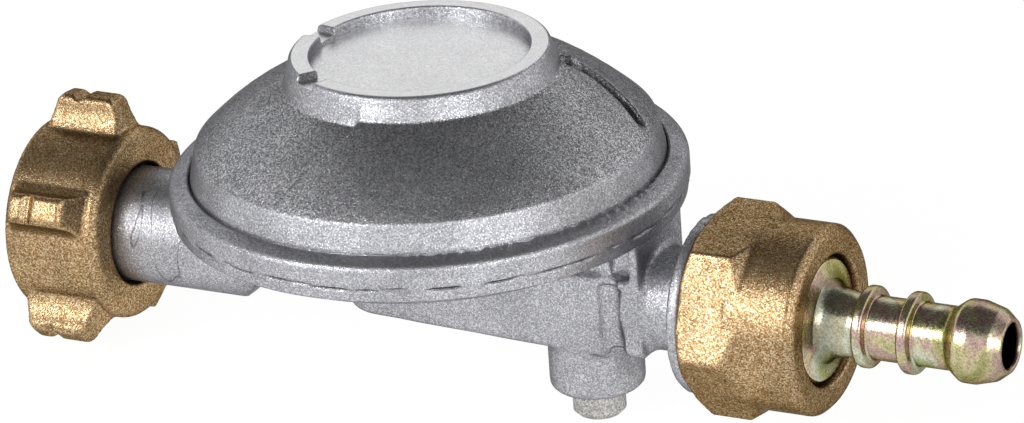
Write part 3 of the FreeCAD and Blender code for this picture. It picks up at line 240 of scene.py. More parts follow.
def make_grain():
    """Blasted or forged grain, with its sizes in millimetres: the shade and height of each grain, broad
    stains, and hairline flow marks on the stem."""
    group = bpy.data.node_groups.new("metal_grain", "ShaderNodeTree")
    for label in ("Grain", "Stain"):
        group.interface.new_socket(label, in_out="INPUT", socket_type="NodeSocketFloat")
    for label in ("Shade", "Stain", "Hairline", "Height"):
        group.interface.new_socket(label, in_out="OUTPUT", socket_type="NodeSocketFloat")
    into, out = group.nodes.new("NodeGroupInput"), group.nodes.new("NodeGroupOutput")
    place = add(group, "TexCoord").outputs["Object"]
    fine = add(group, "Math", {"operation": "DIVIDE"}, _0=1 / MM, _1=into.outputs["Grain"]).outputs["Value"]
    broad = add(group, "Math", {"operation": "DIVIDE"}, _0=1 / MM, _1=into.outputs["Stain"]).outputs["Value"]
    cells = add(group, "TexVoronoi", Vector=place, Scale=fine)
    grains = add(group, "SeparateColor", Color=cells.outputs["Color"]).outputs["Red"]
    mottle = add(group, "TexNoise", Vector=place, Scale=fine, Detail=1.0, Roughness=0.6).outputs["Fac"]
    wide = ranged(group, mottle, (0.3, 0.7))
    shade = add(group, "Mix", Factor=0.4, A=grains, B=wide).outputs["Result"]
    stain = add(group, "TexNoise", Vector=place, Scale=broad, Detail=4.0, Roughness=0.55).outputs["Fac"]
    drawn = add(group, "VectorMath", {"operation": "MULTIPLY"}, _0=place, _1=MARK_STRETCH).outputs["Vector"]
    flow = add(group, "TexNoise", Vector=drawn, Scale=1.0, Detail=1.5, Roughness=0.5).outputs["Fac"]
    middle = add(group, "Math", {"operation": "SUBTRACT"}, _0=flow, _1=0.5).outputs["Value"]
    off = add(group, "Math", {"operation": "ABSOLUTE"}, _0=middle).outputs["Value"]
    hair = ranged(group, off, (0.0, MARK_HALF_WIDTH), (1.0, 0.0))
    broken = add(group, "TexNoise", Vector=place, Scale=110.0, Detail=2.0).outputs["Fac"]
    hairline = times(group, hair, ranged(group, broken, (0.49, 0.53)))
    spot = add(group, "SeparateXYZ", Vector=place).outputs["X"]
    hairline = times(group, hairline, ranged(group, spot, STEM_END, (1.0, 0.0)))
    for label, socket in (("Shade", shade), ("Stain", stain), ("Hairline", hairline), ("Height", wide)):
        group.links.new(socket, out.inputs[label])
    return group


metal_grain = make_grain()


def finish(tree, face):
    """Leads a shader to the material's surface."""
    tree.links.new(face.outputs["BSDF"], add(tree, "OutputMaterial").inputs["Surface"])


def metal(name, tones, grain, bump, rough, edge=0.3, stain=9.0, stains=0.25, rim=0.4, metallic=1.0, wall_light_lift=0.0,
          hairs=0.0):
    """A grained metal: tones are its dark, middle and pale grains, and rim is how bright it is edge on.
    Where the mesh's wall mark is 1 the grain is calmer and the colour paler, as painted light on upright
    faces. Its groove mark darkens the colour as painted shade along grooves and the parting line, and
    hairs is how much its flow marks darken it."""
    made, tree = new_material(name)
    skin = tree.nodes.new("ShaderNodeGroup")
    skin.node_tree = metal_grain
    skin.inputs["Grain"].default_value = grain
    skin.inputs["Stain"].default_value = stain
    # Painted light: the wall mark calms the grain on upright faces, as the studio light makes them look.
    painted_wall_light = add(tree, "Attribute", {"attribute_name": "painted_wall_light"}).outputs["Fac"]
    calm = ranged(tree, painted_wall_light, (0.0, 1.0), (0.0, WALL_CALM))
    shade = add(tree, "Mix", Factor=calm, A=skin.outputs["Shade"], B=WALL_SHADE).outputs["Result"]
    speckle = add(tree, "ValToRGB", Fac=shade)
    ramp = speckle.color_ramp
    ramp.elements[0].position, ramp.elements[0].color = SHADE_STOPS[0], tones[0]
    ramp.elements[1].position, ramp.elements[1].color = SHADE_STOPS[2], tones[2]
    ramp.elements.new(SHADE_STOPS[1]).color = tones[1]
    level = ranged(tree, skin.outputs["Stain"], (0.35, 0.7), (1.0, 1.0 - stains))
    dull = ranged(tree, skin.outputs["Shade"], (0.2, 0.8), (rough[1], rough[0]))
    # Painted shade: the groove mark darkens the colour strongly, standing in for the shade that falls in
    # grooves and the parting line.
    painted_seam_shade = add(tree, "Attribute", {"attribute_name": "painted_seam_shade"}).outputs["Fac"]
    level = times(tree, level, ranged(tree, painted_seam_shade, (0.0, 1.0), (1.0, SEAM_SHADE_LEVEL)))
    if hairs:
        level = times(tree, level, ranged(tree, skin.outputs["Hairline"], (0.0, 1.0), (1.0, 1.0 - hairs)))
    # Painted light: faces with the wall mark are made paler, standing in for their being lit more than the
    # cone.
    if wall_light_lift:
        level = times(tree, level, ranged(tree, painted_wall_light, (0.0, 1.0), (1.0, 1.0 + wall_light_lift)))
    colour = add(tree, "VectorMath", {"operation": "SCALE"}, Vector=speckle.outputs["Color"],
                 Scale=level).outputs["Vector"]
    soft = add(tree, "Bevel", {"samples": 6}, Radius=edge * MM).outputs["Normal"]
    relief = add(tree, "Bump", Strength=1.0, Distance=bump * MM, Height=skin.outputs["Height"],
                 Normal=soft).outputs["Normal"]
    face = add(tree, "BsdfPrincipled", Base_Color=colour, Metallic=metallic, Roughness=dull, Normal=relief)
    face.inputs["Specular Tint"].default_value = (rim, rim, rim, 1)
    finish(tree, face)
    return made


def link_mesh(name, mesh, material):
    """A new object for a mesh, at the origin, with its one material."""
    mesh.materials.clear()
    mesh.materials.append(material)
    piece = bpy.data.objects.new(name, mesh)
    bpy.context.scene.collection.objects.link(piece)
    return piece


def declare(piece, body, node):
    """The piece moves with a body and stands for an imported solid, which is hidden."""
    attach(piece, body)
    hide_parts(node)


def welded_copy(node, name, material, crease=32):
    """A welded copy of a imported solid, smooth across its curved faces."""
    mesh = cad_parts[node].data.copy()
    mesh.name = name
    welded = bmesh.new()
    welded.from_mesh(mesh)
    bmesh.ops.remove_doubles(welded, verts=welded.verts, dist=WELD * MM)
    welded.to_mesh(mesh)
    welded.free()
    if "custom_normal" in mesh.attributes:
        mesh.attributes.remove(mesh.attributes["custom_normal"])
    mesh.polygons.foreach_set("use_smooth", [True] * len(mesh.polygons))
    mesh.set_sharp_from_angle(angle=math.radians(crease))
    return link_mesh(name, mesh, material)


def made_plain(piece, material):
    """Uses up a piece's modifiers: its mesh becomes what they made, with the one material."""
    mesh = bpy.data.meshes.new_from_object(piece.evaluated_get(bpy.context.evaluated_depsgraph_get()))
    piece.modifiers.clear()
    mesh.name = piece.name
    mesh.materials.clear()
    mesh.materials.append(material)
    piece.data = mesh
    return mesh


def softened(piece, voxel, passes, lump):
    """Its corners are worn soft and its faces made a little uneven, as casting and forging leave them."""
    remesh = piece.modifiers.new("skin", "REMESH")
    remesh.mode = "VOXEL"
    remesh.voxel_size = voxel * MM
    remesh.use_smooth_shade = True
    relax = piece.modifiers.new("relax", "SMOOTH")
    relax.factor = 0.5
    relax.iterations = passes
    mesh = made_plain(piece, piece.data.materials[0])
    moves = []
    for vertex in mesh.vertices:
        wave = noise.noise(vertex.co * LUMP_SCALES[0]) * 0.6 + noise.noise(vertex.co * LUMP_SCALES[1]) * 0.4
        moves.append(vertex.co + vertex.normal * wave * lump * MM)
    for vertex, place in zip(mesh.vertices, moves):
        vertex.co = place


def mark_points(mesh, label, values):
    """Gives each point a share from 0 to 1 of a painted light mark: calmer, paler metal for lit upright faces,
    or painted shade along a groove.
    """
    mark = mesh.attributes.new(label, "FLOAT", "POINT")
    mark.data.foreach_set("value", values)


blasted_zinc = metal("blasted_zinc", BLASTED, **BLAST)
cast_zinc = metal("cast_zinc", BLASTED, hairs=MARK_DARKNESS, **BLAST)
casting = welded_copy("body_casting", "lower_casting", cast_zinc)
for vertex in casting.data.vertices:
    side = Vector((vertex.co.x - HOUSING_X, vertex.co.y))
    distance = side.length / MM
    if FLANGE_OUTSIDE < distance < FLANGE_NEAR and vertex.co.z > FLANGE_BOTTOM * MM:
        side *= (distance - FLANGE_SINK) / distance
        vertex.co.x, vertex.co.y = side.x + HOUSING_X, side.y
    if LIP_INSIDE < distance < FLANGE_NEAR and vertex.co.z > LIP_LEVEL * MM:
        vertex.co.z -= LIP_SINK * MM
softened(casting, 0.475, 2, 0.015)
# The whole casting carries the wall mark, so it is painted calmer and paler as lit upright faces.
mark_points(casting.data, "painted_wall_light", [1.0] * len(casting.data.vertices))
declare(casting, "regulator_body", "body_casting")


# Crimped flange
# The casting's own rim, rolled inward over the cover. The roller has left short creases along the
# lip's inner edge, and the die's parting line runs broken round the side, with a small mismatch.
RING_SEGMENTS = 1200
RING_STEP = 0.27
CREASE_DEPTH = 0.42
CREASE_WIDTH = 0.95
CREASE_SLANT = 0.5
CREASE_FLOOR = 15.2
CREASE_REACH = (33.2, 34.9)
CREASES_START = (-75.0, -50.0)
CREASES_STOP = (-10.0, 20.0)
CREASES_ELSEWHERE = 0.12
LIP_MIDDLE = 34
LIP_INNER = 33
PARTING_LEVEL = 11.95
PARTING_DEPTH = 0.50
PARTING_EDGES = (0.10, 0.26)
PARTING_JUMP = 0.22
SIDE_BOTTOM = 10.6
SIDE_TOP = 14
SIDE_INNER = 35
RING_CORNERS = [(33.9, 10.8, 0), (34.9, 10.02, 0), (35.55, 10.0, 0.45), (35.84, PARTING_LEVEL - 0.2, 0),
                (36.0, PARTING_LEVEL + 0.05, 0), (36.0, 15.1, 1.0), (34.9, 15.62, 1.0), (33.2, 16.1, 0.35),
                (33.2, 15.15, 0), (34.0, 14.4, 0)]


def rounded_path(corners):
    """Points along straight runs whose corners (x, y, radius) are rounded by arcs."""
    path = []
    count = len(corners)
    for i, (x, y, radius) in enumerate(corners):
        here = Vector((x, y))
        before = Vector(corners[i - 1][:2]) - here
        after = Vector(corners[(i + 1) % count][:2]) - here
        if radius <= 0:
            path.append(here)
            continue
        half = before.angle(after) / 2
        reach = radius / math.tan(half)
        centre = here + (before.normalized() + after.normalized()).normalized() * radius / math.sin(half)
        first = here + before.normalized() * reach - centre
        last = here + after.normalized() * reach - centre
        sweep = first.angle_signed(last)
        steps = max(3, int(abs(sweep) * 6))
        path += [centre + Matrix.Rotation(-sweep * k / steps, 2) @ first for k in range(steps + 1)]
    return path


def divided(path, step):
    """The closed path with points no further apart than a step."""
    points = []
    for here, there in zip(path, path[1:] + path[:1]):
        parts = max(1, math.ceil((there - here).length / step))
        points += [here.lerp(there, k / parts) for k in range(parts)]
    return points


def spun(name, path, segments, upright, centre=0.0):
    """A closed outline (distance along the axis, radius) turned once round the Z or the X axis."""
    verts = []
    for k in range(segments):
        angle = 2 * math.pi * k / segments
        for reach, radius in path:
            side, rise = radius * math.cos(angle), radius * math.sin(angle)
            verts.append(((side, rise, reach) if upright else (reach, side, rise)))
    rows = len(path)
    faces = []
    for k in range(segments):
        here, there = k * rows, (k + 1) % segments * rows
        for row in range(rows):
            up = (row + 1) % rows
            faces.append((here + row, there + row, there + up, here + up))
    mesh = bpy.data.meshes.new(name)
    mesh.from_pydata([(x * MM + centre, y * MM, z * MM) for x, y, z in verts], [], faces)
    closed = bmesh.new()
    closed.from_mesh(mesh)
    bmesh.ops.recalc_face_normals(closed, faces=closed.faces)
    closed.to_mesh(mesh)
    closed.free()
    mesh.polygons.foreach_set("use_smooth", [True] * len(mesh.polygons))
    return mesh


def ease(value, low, high):
    """0 below low, 1 above high, and smooth between."""
    share = min(max((value - low) / (high - low), 0.0), 1.0)
    return share * share * (3 - 2 * share)


def ripple(x, y, z):
    """Smooth noise between -1 and 1 at three numbers, the same each run."""
    return noise.noise(Vector((x, y, z)))


ring_path = divided(rounded_path(RING_CORNERS), RING_STEP)
ring_mesh = spun("crimped_flange", [(point.y, point.x) for point in ring_path], RING_SEGMENTS, True, HOUSING_X)
seam_shades = []
for vertex in ring_mesh.vertices:
    seam_and_shade = 0.0
    x, y, z = (vertex.co.x - HOUSING_X) / MM, vertex.co.y / MM, vertex.co.z / MM
    distance = math.hypot(x, y)
    around = math.degrees(math.atan2(y, x))
    outward = Vector((x, y)) / distance
    creased = ease(around, *CREASES_START) * (1 - ease(around, *CREASES_STOP))
    if z > CREASE_FLOOR:
        run = math.radians(around) * LIP_MIDDLE / CREASE_WIDTH + (distance - LIP_INNER) * CREASE_SLANT
        wave = ripple(run, distance * 0.35, 0) + 0.5 * ripple(run * 2.3, 0, 7)
        depth = CREASE_DEPTH * (CREASES_ELSEWHERE + (1 - CREASES_ELSEWHERE) * creased)
        z -= depth * (1 - ease(distance, *CREASE_REACH)) * max(wave + 0.15, -0.3)
    if SIDE_BOTTOM < z < SIDE_TOP and distance > SIDE_INNER:
        jump = PARTING_JUMP * ease(ripple(around * 0.045, 0, 3), -0.05, 0.05)
        line = abs(z - PARTING_LEVEL - jump)
        # This share both cuts the parting groove and darkens its colour as painted shade.
        seam_and_shade = ease(ripple(around * 0.16, 5, 0), -0.35, 0.25) * (1 - ease(line, *PARTING_EDGES))
        distance -= PARTING_DEPTH * seam_and_shade
        x, y = outward * distance
    vertex.co = (HOUSING_X + x * MM, y * MM, z * MM)
    seam_shades.append(seam_and_shade)
# Painted light: the ring is marked calmer and paler all over as lit upright faces, and painted shade darkens
# the parting line.
mark_points(ring_mesh, "painted_wall_light", [1.0] * len(ring_mesh.vertices))
mark_points(ring_mesh, "painted_seam_shade", seam_shades)
ring = link_mesh("crimped_flange", ring_mesh, blasted_zinc)
declare(ring, "regulator_body", "body_casting")


# Diaphragm cover
# A second zinc casting with the same skin: a bulged cone that rises from the crimped lip to a raised
# boss for the cap. The die's insert stands a little proud over the front, from a fine step at the
# left to a groove.
COVER_SEGMENTS = 640
COVER_STEP = 0.30
COVER_LOW = 13.7
BAND_RADIUS = 32.9
CONE_BULGE = 34.0
CONE_FOOT = (31.95, 19.85)
CONE_TOP = (19.1, 28.3)
BOSS_FADE = (18.6, 19.4)
FOOT_FADE = (31.0, 32.0)
CONE_SKIN = 1.2
BOSS_INNER = 17.9
BOSS_TOP = 31.8
RIM_LEVEL = 32.5
RIM_OUTSIDE = 18.0
NOTCHES = (169.0, 231.0)
NOTCH_SWEEP = 13.0
NOTCH_LEVEL = 31.4
NOTCH_FLATTENED = 0.05
RECESS_RADIUS = 15.2
RECESS_FLOOR = 29.5
RING_SEAT = 13.6
GROOVE = [(16.4, 9.2), (19.2, 10.1), (21.6, 10.3), (23.7, 10.1), (25.7, 9.7), (27.5, 8.9), (29.8, 7.8)]
GROOVE_HALF = 0.85
GROOVE_DEPTH = 0.85
GROOVE_SHADE = 0.85
BANK_RISE = 0.50
BANK_TOP = 29.5
STEP_LINE = [(0.4, -18.0), (-0.5, -21.6), (-1.7, -23.9), (-3.6, -26.3), (-5.5, -28.7), (-7.7, -31.4)]
STEP_SHADE = 0.45
STEP_HALF = 0.45
STEP_SIDES = (225, 300)
STEP_INNER = 20
INSERT_RISE = 0.80
INSERT_LIFT = 0.05
PIP = (18.0, 10.6)
PIP_RISE = 0.45
SMOOTH = ((0.66, 0.66, 0.67, 1), (0.82, 0.82, 0.83, 1), (0.94, 0.94, 0.95, 1))


def cone_arc(foot, top, radius, parts):
    """Points on a shallow outward bulge from the cone's foot to its top, as (radius, height)."""
    foot, top = Vector(foot), Vector(top)
    middle = (foot + top) / 2
    across = (top - foot).orthogonal().normalized()
    if across.x > 0:
        across.negate()
    depth = math.sqrt(radius ** 2 - (top - foot).length_squared / 4)
    centre = middle + across * depth
    first, last = foot - centre, top - centre
    sweep = first.angle(last)
    return [centre + Matrix.Rotation(sweep * k / parts, 2) @ first for k in range(parts + 1)]


def line_distance(x, y, line):
    """Distance from a point to a line of corners, with the side it is on and how far along it is."""
    nearest = None
    for k, ((x0, y0), (x1, y1)) in enumerate(zip(line, line[1:])):
        dx, dy = x1 - x0, y1 - y0
        share = ((x - x0) * dx + (y - y0) * dy) / (dx * dx + dy * dy)
        held = min(max(share, 0.0), 1.0)
        off = math.hypot(x - x0 - held * dx, y - y0 - held * dy)
        side = math.copysign(1, dx * (y - y0) - dy * (x - x0))
        if nearest is None or off < nearest[0]:
            nearest = (off, side, (k + share) / (len(line) - 1))
    return nearest


bulge = cone_arc(CONE_FOOT, CONE_TOP, CONE_BULGE, 8)
shown = [(BAND_RADIUS, 16.0, 0), (CONE_FOOT[0] + 0.1, CONE_FOOT[1], 0.8)]
shown += [(point.x, point.y, 0) for point in bulge[1:-1]]
shown += [(CONE_TOP[0], CONE_TOP[1], 0.6), (RIM_OUTSIDE, RIM_LEVEL, 0.8), (RECESS_RADIUS, RIM_LEVEL, 0.4),
          (RECESS_RADIUS, RECESS_FLOOR, 0)]
hidden = [(RING_SEAT, RECESS_FLOOR), (RING_SEAT, 24.8), (16.2, 24.8), (16.2, 26.3), (30.0, 17.1),
          (30.0, COVER_LOW), (34.35, COVER_LOW), (34.35, 14.6), (33.4, 15.1), (BAND_RADIUS, 15.1)]
fine_part = rounded_path([(BAND_RADIUS, 15.1, 0)] + shown + [(RING_SEAT, RECESS_FLOOR, 0)])[1:-1]
outline = divided(fine_part, COVER_STEP)
last_fine = max(k for k, point in enumerate(outline) if (point - fine_part[-1]).length < 1e-6)
outline = outline[:last_fine + 1] + [Vector(corner) for corner in hidden]
cover_mesh = spun("cover_shell", [(point.y, point.x) for point in outline], COVER_SEGMENTS, True, HOUSING_X)
wall_light_shares = []
seam_shades = []
for vertex in cover_mesh.vertices:
    seam_and_shade = 0.0
    x, y, z = (vertex.co.x - HOUSING_X) / MM, vertex.co.y / MM, vertex.co.z / MM
    around = math.degrees(math.atan2(y, x)) % 360
    distance = math.hypot(x, y)
    if z > NOTCH_LEVEL and distance > RECESS_RADIUS - 0.2:
        if any(start < around < start + NOTCH_SWEEP for start in NOTCHES):
            z = NOTCH_LEVEL + NOTCH_FLATTENED * (z - NOTCH_LEVEL)
    slope_share = (CONE_FOOT[0] - distance) / (CONE_FOOT[0] - CONE_TOP[0])
    off_foot = 1 - ease(distance, *FOOT_FADE)
    on_cone = ease(distance, *BOSS_FADE) * off_foot
    cone_level = CONE_FOOT[1] + slope_share * (CONE_TOP[1] - CONE_FOOT[1])
    if z > cone_level - CONE_SKIN and BOSS_INNER < distance and z < BOSS_TOP:
        off, side, share = line_distance(x, y, GROOVE)
        past = (1 - ease(share, 0.80, 1.05)) * ease(distance, *BOSS_FADE)
        step_off, step_side, _ = line_distance(x, y, STEP_LINE)
        if around > STEP_SIDES[0]:
            panel = ease(step_off * step_side, -STEP_HALF, STEP_HALF)
        else:
            panel = 1 - ease(around, 90, 150)
        fading = off_foot * (1 - ease(z, 28.8, BOSS_TOP))
        z += (INSERT_RISE * (1 - ease(distance, 18.5, 30.0)) + INSERT_LIFT) * panel * fading
        bank = ease(off * side, 0.3, 0.75) * (1 - ease(off * side, 0.9, 4.5)) * past
        z += BANK_RISE * bank * on_cone * (z < BANK_TOP)
        z -= GROOVE_DEPTH * past * (1 - ease(off, 0.35 * GROOVE_HALF, GROOVE_HALF)) * on_cone
        # Painted shade: the groove and the fine step are darkened in colour, standing in for the shade that
        # falls in them.
        seam_and_shade = GROOVE_SHADE * past * (1 - ease(off, 0.6 * GROOVE_HALF, 1.15 * GROOVE_HALF)) * on_cone
        if STEP_SIDES[0] < around < STEP_SIDES[1] and distance > STEP_INNER:
            seam_and_shade = max(seam_and_shade, STEP_SHADE * (1 - ease(step_off, 0.08, 0.34)) * on_cone)
        z += PIP_RISE * (1 - ease(math.hypot(x - PIP[0], y - PIP[1]), 0.25, 1.0))
    seam_shades.append(seam_and_shade)
    # Painted light: the band and the boss's upright wall are marked to be painted calmer and paler than the
    # cone.
    wall_light_shares.append(max(ease(distance, 31.6, 32.1), (1 - ease(distance, 18.9, 19.3)) * ease(z, 27.5, 28.5)))
    vertex.co = (HOUSING_X + x * MM, y * MM, z * MM)
mark_points(cover_mesh, "painted_wall_light", wall_light_shares)
mark_points(cover_mesh, "painted_seam_shade", seam_shades)
cover = link_mesh("diaphragm_cover", cover_mesh, blasted_zinc)
smooth_zinc = metal("smooth_zinc", SMOOTH, grain=0.16, bump=0.01, rough=(0.26, 0.34), edge=0.2, stain=6.0,
                    stains=0.06, rim=1.0)
cover_mesh.materials.append(smooth_zinc)
for face in cover_mesh.polygons:
    if face.center.z > (NOTCH_LEVEL - 0.05) * MM and face.normal.z > 0.9:
        face.material_index = 1
declare(cover, "regulator_body", "cover_casting")


# Cap
# A flat zinc disc that lies a little below the boss's notched rim, cast smoother than the housing.
# The plug of drawn zinc that closes the drilled foot is here too.
DRAWN = ((0.30, 0.29, 0.28, 1), (0.52, 0.50, 0.48, 1), (0.80, 0.78, 0.76, 1))
plug_zinc = metal("drawn_zinc", DRAWN, grain=0.22, bump=0.03, rough=(0.36, 0.5), edge=0.25, stain=6.0,
                  stains=0.2, rim=0.6)
flat_cap = welded_copy("spring_cap", "flat_cap", smooth_zinc)
declare(flat_cap, "regulator_body", "spring_cap")
foot_plug = welded_copy("passage_plug", "foot_plug", plug_zinc)
declare(foot_plug, "regulator_body", "passage_plug")


# Inlet union nut
# Forged brass with five lugs for the hand and a notch that marks a left-hand thread. The forging
# leaves soft corners and a fine grain of pale and brown.
FORGED = ((0.22, 0.115, 0.044, 1), (0.46, 0.295, 0.140, 1), (0.86, 0.70, 0.46, 1))
NUT_VOXEL = 0.27
NUT_LUMP = 0.012
forged_brass = metal("forged_brass", FORGED, grain=0.17, bump=0.02, rough=(0.27, 0.40), stain=7.0, stains=0.3,
                     rim=0.25)
lugged_nut = welded_copy("inlet_nut", "lugged_nut", forged_brass)
softened(lugged_nut, NUT_VOXEL, 2, NUT_LUMP)
declare(lugged_nut, "inlet_union_nut", "inlet_nut")


# Inlet thread
# The ridge in the nut's bore, as a lathe cuts it: a diamond section swept along a helix from the
# nut's mouth to its relief. It winds the right-hand way, although the nut's notch marks a left-hand
# thread.
THREAD_RADIUS = 10.95
THREAD_DEPTH = 0.95
THREAD_PITCH = 1.81
THREAD_START = 0.9
THREAD_END = 5.6
THREAD_SIDES = 4
THREAD_STEPS = 72
TURNED_BRASS = ((0.50, 0.33, 0.13, 1), (0.70, 0.50, 0.23, 1), (0.86, 0.68, 0.38, 1))


def helix_tree(name):
    """Geometry nodes for a bar swept along a right-hand helix about the X axis, with its sizes as inputs."""
    nodes = bpy.data.node_groups.new(name, "GeometryNodeTree")
    for label, kind in (("Radius", "Float"), ("Turns", "Float"), ("Length", "Float"), ("Start", "Float"),
                        ("Section", "Float"), ("Sides", "Int"), ("Steps", "Int"), ("Material", "Material")):
        nodes.interface.new_socket(label, in_out="INPUT", socket_type="NodeSocket" + kind)
    nodes.interface.new_socket("Mesh", in_out="OUTPUT", socket_type="NodeSocketGeometry")
    sizes, out = nodes.nodes.new("NodeGroupInput").outputs, nodes.nodes.new("NodeGroupOutput")

    def step(kind, **inputs):
        """The first output of a new node, whose inputs are given as values or as sockets to link."""
        made = nodes.nodes.new(kind)
        for label, value in inputs.items():
            socket = made.inputs[label.replace("_", " ")]
            if isinstance(value, bpy.types.NodeSocket):
                nodes.links.new(value, socket)
            else:
                socket.default_value = value
        return made.outputs[0]

    spiral = step("GeometryNodeCurveSpiral", Resolution=sizes["Steps"], Rotations=sizes["Turns"],
                  Start_Radius=sizes["Radius"], End_Radius=sizes["Radius"], Height=sizes["Length"],
                  Reverse=True)
    offset = step("ShaderNodeCombineXYZ", X=sizes["Start"])
    laid = step("GeometryNodeTransform", Geometry=spiral, Translation=offset,
                Rotation=(0.0, math.pi / 2, 0.0))
    section = step("GeometryNodeCurvePrimitiveCircle", Resolution=sizes["Sides"], Radius=sizes["Section"])
    swept = step("GeometryNodeCurveToMesh", Curve=laid, Profile_Curve=section, Fill_Caps=True)
    real = step("GeometryNodeRealizeInstances", Geometry=swept)
    dressed = step("GeometryNodeSetMaterial", Geometry=real, Material=sizes["Material"])
    nodes.links.new(dressed, out.inputs["Mesh"])
    return nodes


def grown(name, nodes, material, settings):
    """A plain mesh from a node tree, whose inputs are set by identifier."""
    piece = bpy.data.objects.new(name, bpy.data.meshes.new(name))
    bpy.context.scene.collection.objects.link(piece)
    modifier = piece.modifiers.new("shape", "NODES")
    modifier.node_group = nodes
    for item in nodes.interface.items_tree:
        if item.in_out == "INPUT" and item.name in settings:
            modifier[item.identifier] = settings[item.name]
    made_plain(piece, material)
    return piece


def turned(name, tones, rough=(0.18, 0.30), stains=0.12):
    """A metal finished on a lathe or a press: bright, with hardly any grain."""
    return metal(name, tones, grain=0.12, bump=0.008, rough=rough, edge=0.1, stain=6.0, stains=stains,
                 rim=0.8)


lathe_brass = turned("lathe_brass", TURNED_BRASS)
thread = grown("inlet_thread", helix_tree("helix"), lathe_brass, {
    "Radius": THREAD_RADIUS * MM, "Turns": (THREAD_END - THREAD_START) / THREAD_PITCH,
    "Length": (THREAD_END - THREAD_START) * MM, "Start": THREAD_START * MM, "Section": THREAD_DEPTH * MM,
    "Sides": THREAD_SIDES, "Steps": THREAD_STEPS, "Material": lathe_brass})
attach(thread, "inlet_union_nut")


# Outlet union nut
# A hexagon with a round collar, hot stamped from the same brass as the inlet's nut. Its corners are
# smoothed a little more than that nut's.
HEXAGON_CREASE = 20
hexagon_nut = welded_copy("outlet_nut", "hexagon_nut", forged_brass, HEXAGON_CREASE)
softened(hexagon_nut, NUT_VOXEL, 3, NUT_LUMP)
declare(hexagon_nut, "outlet_union_nut", "outlet_nut")


# Hose tail
# A turned steel tail with a flange and collar in the nut, two ribs and a bulb that the hose is
# pushed over. It is zinc plated and yellow passivated, which gives olive and rose tints.
TAIL_BACK = 55.0
TAIL_END = 86.7
TAIL_STEP = 0.24
TAIL_SEGMENTS = 240
SHAFT = 4.4
BORE = 3.0
RIB = 5.66
BULB = 5.75
COLLAR = 8.65
FLANGE = 9.75
CLOUDS = ((0.34, (0.40, 0.38, 0.17, 1)), (0.42, (0.62, 0.56, 0.31, 1)), (0.48, (0.54, 0.37, 0.34, 1)),
          (0.54, (0.60, 0.55, 0.36, 1)), (0.61, (0.70, 0.72, 0.58, 1)), (0.68, (0.50, 0.53, 0.28, 1)))
SPECKS = (0.3, 0.7)
FLARE = (60.2, 65.5)
FLARE_SHADE = 0.5
COLLAR_FACE = (59.9, 60.3)
COLLAR_HIGHLIGHT = 2.6
BORE_MOUTH = (3.05, 3.3)
BORE_SHADE = 0.06


def rib(middle):
    """A round-shouldered ring on the tail's shaft, as corners from the front to the back."""
    return [(middle + 0.95, SHAFT, 0.3), (middle + 0.72, RIB, 0.5), (middle - 0.72, RIB, 0.5),
            (middle - 0.95, SHAFT, 0.3)]


tail_corners = [(TAIL_BACK, BORE, 0), (TAIL_END - 0.5, BORE, 0), (TAIL_END, 3.3, 0), (TAIL_END, 3.75, 0.25),
                (TAIL_END - 1.6, 5.0, 1.2), (82.3, BULB, 1.5), (80.4, BULB, 1.2), (78.6, SHAFT, 0.9)]
tail_corners += rib(72.8) + rib(66.2)
tail_corners += [(64.4, SHAFT, 1.5), (61.2, 5.0, 2.5), (60.2, 5.9, 0.3), (59.65, 8.35, 0.25),
                 (59.2, COLLAR, 0.2), (57.5, COLLAR, 0), (57.5, FLANGE, 0), (TAIL_BACK, FLANGE, 0)]
tail_path = divided(rounded_path(tail_corners), TAIL_STEP)
tail_mesh = spun("tail", [(point.x, point.y) for point in tail_path], TAIL_SEGMENTS, False, HOUSING_X)


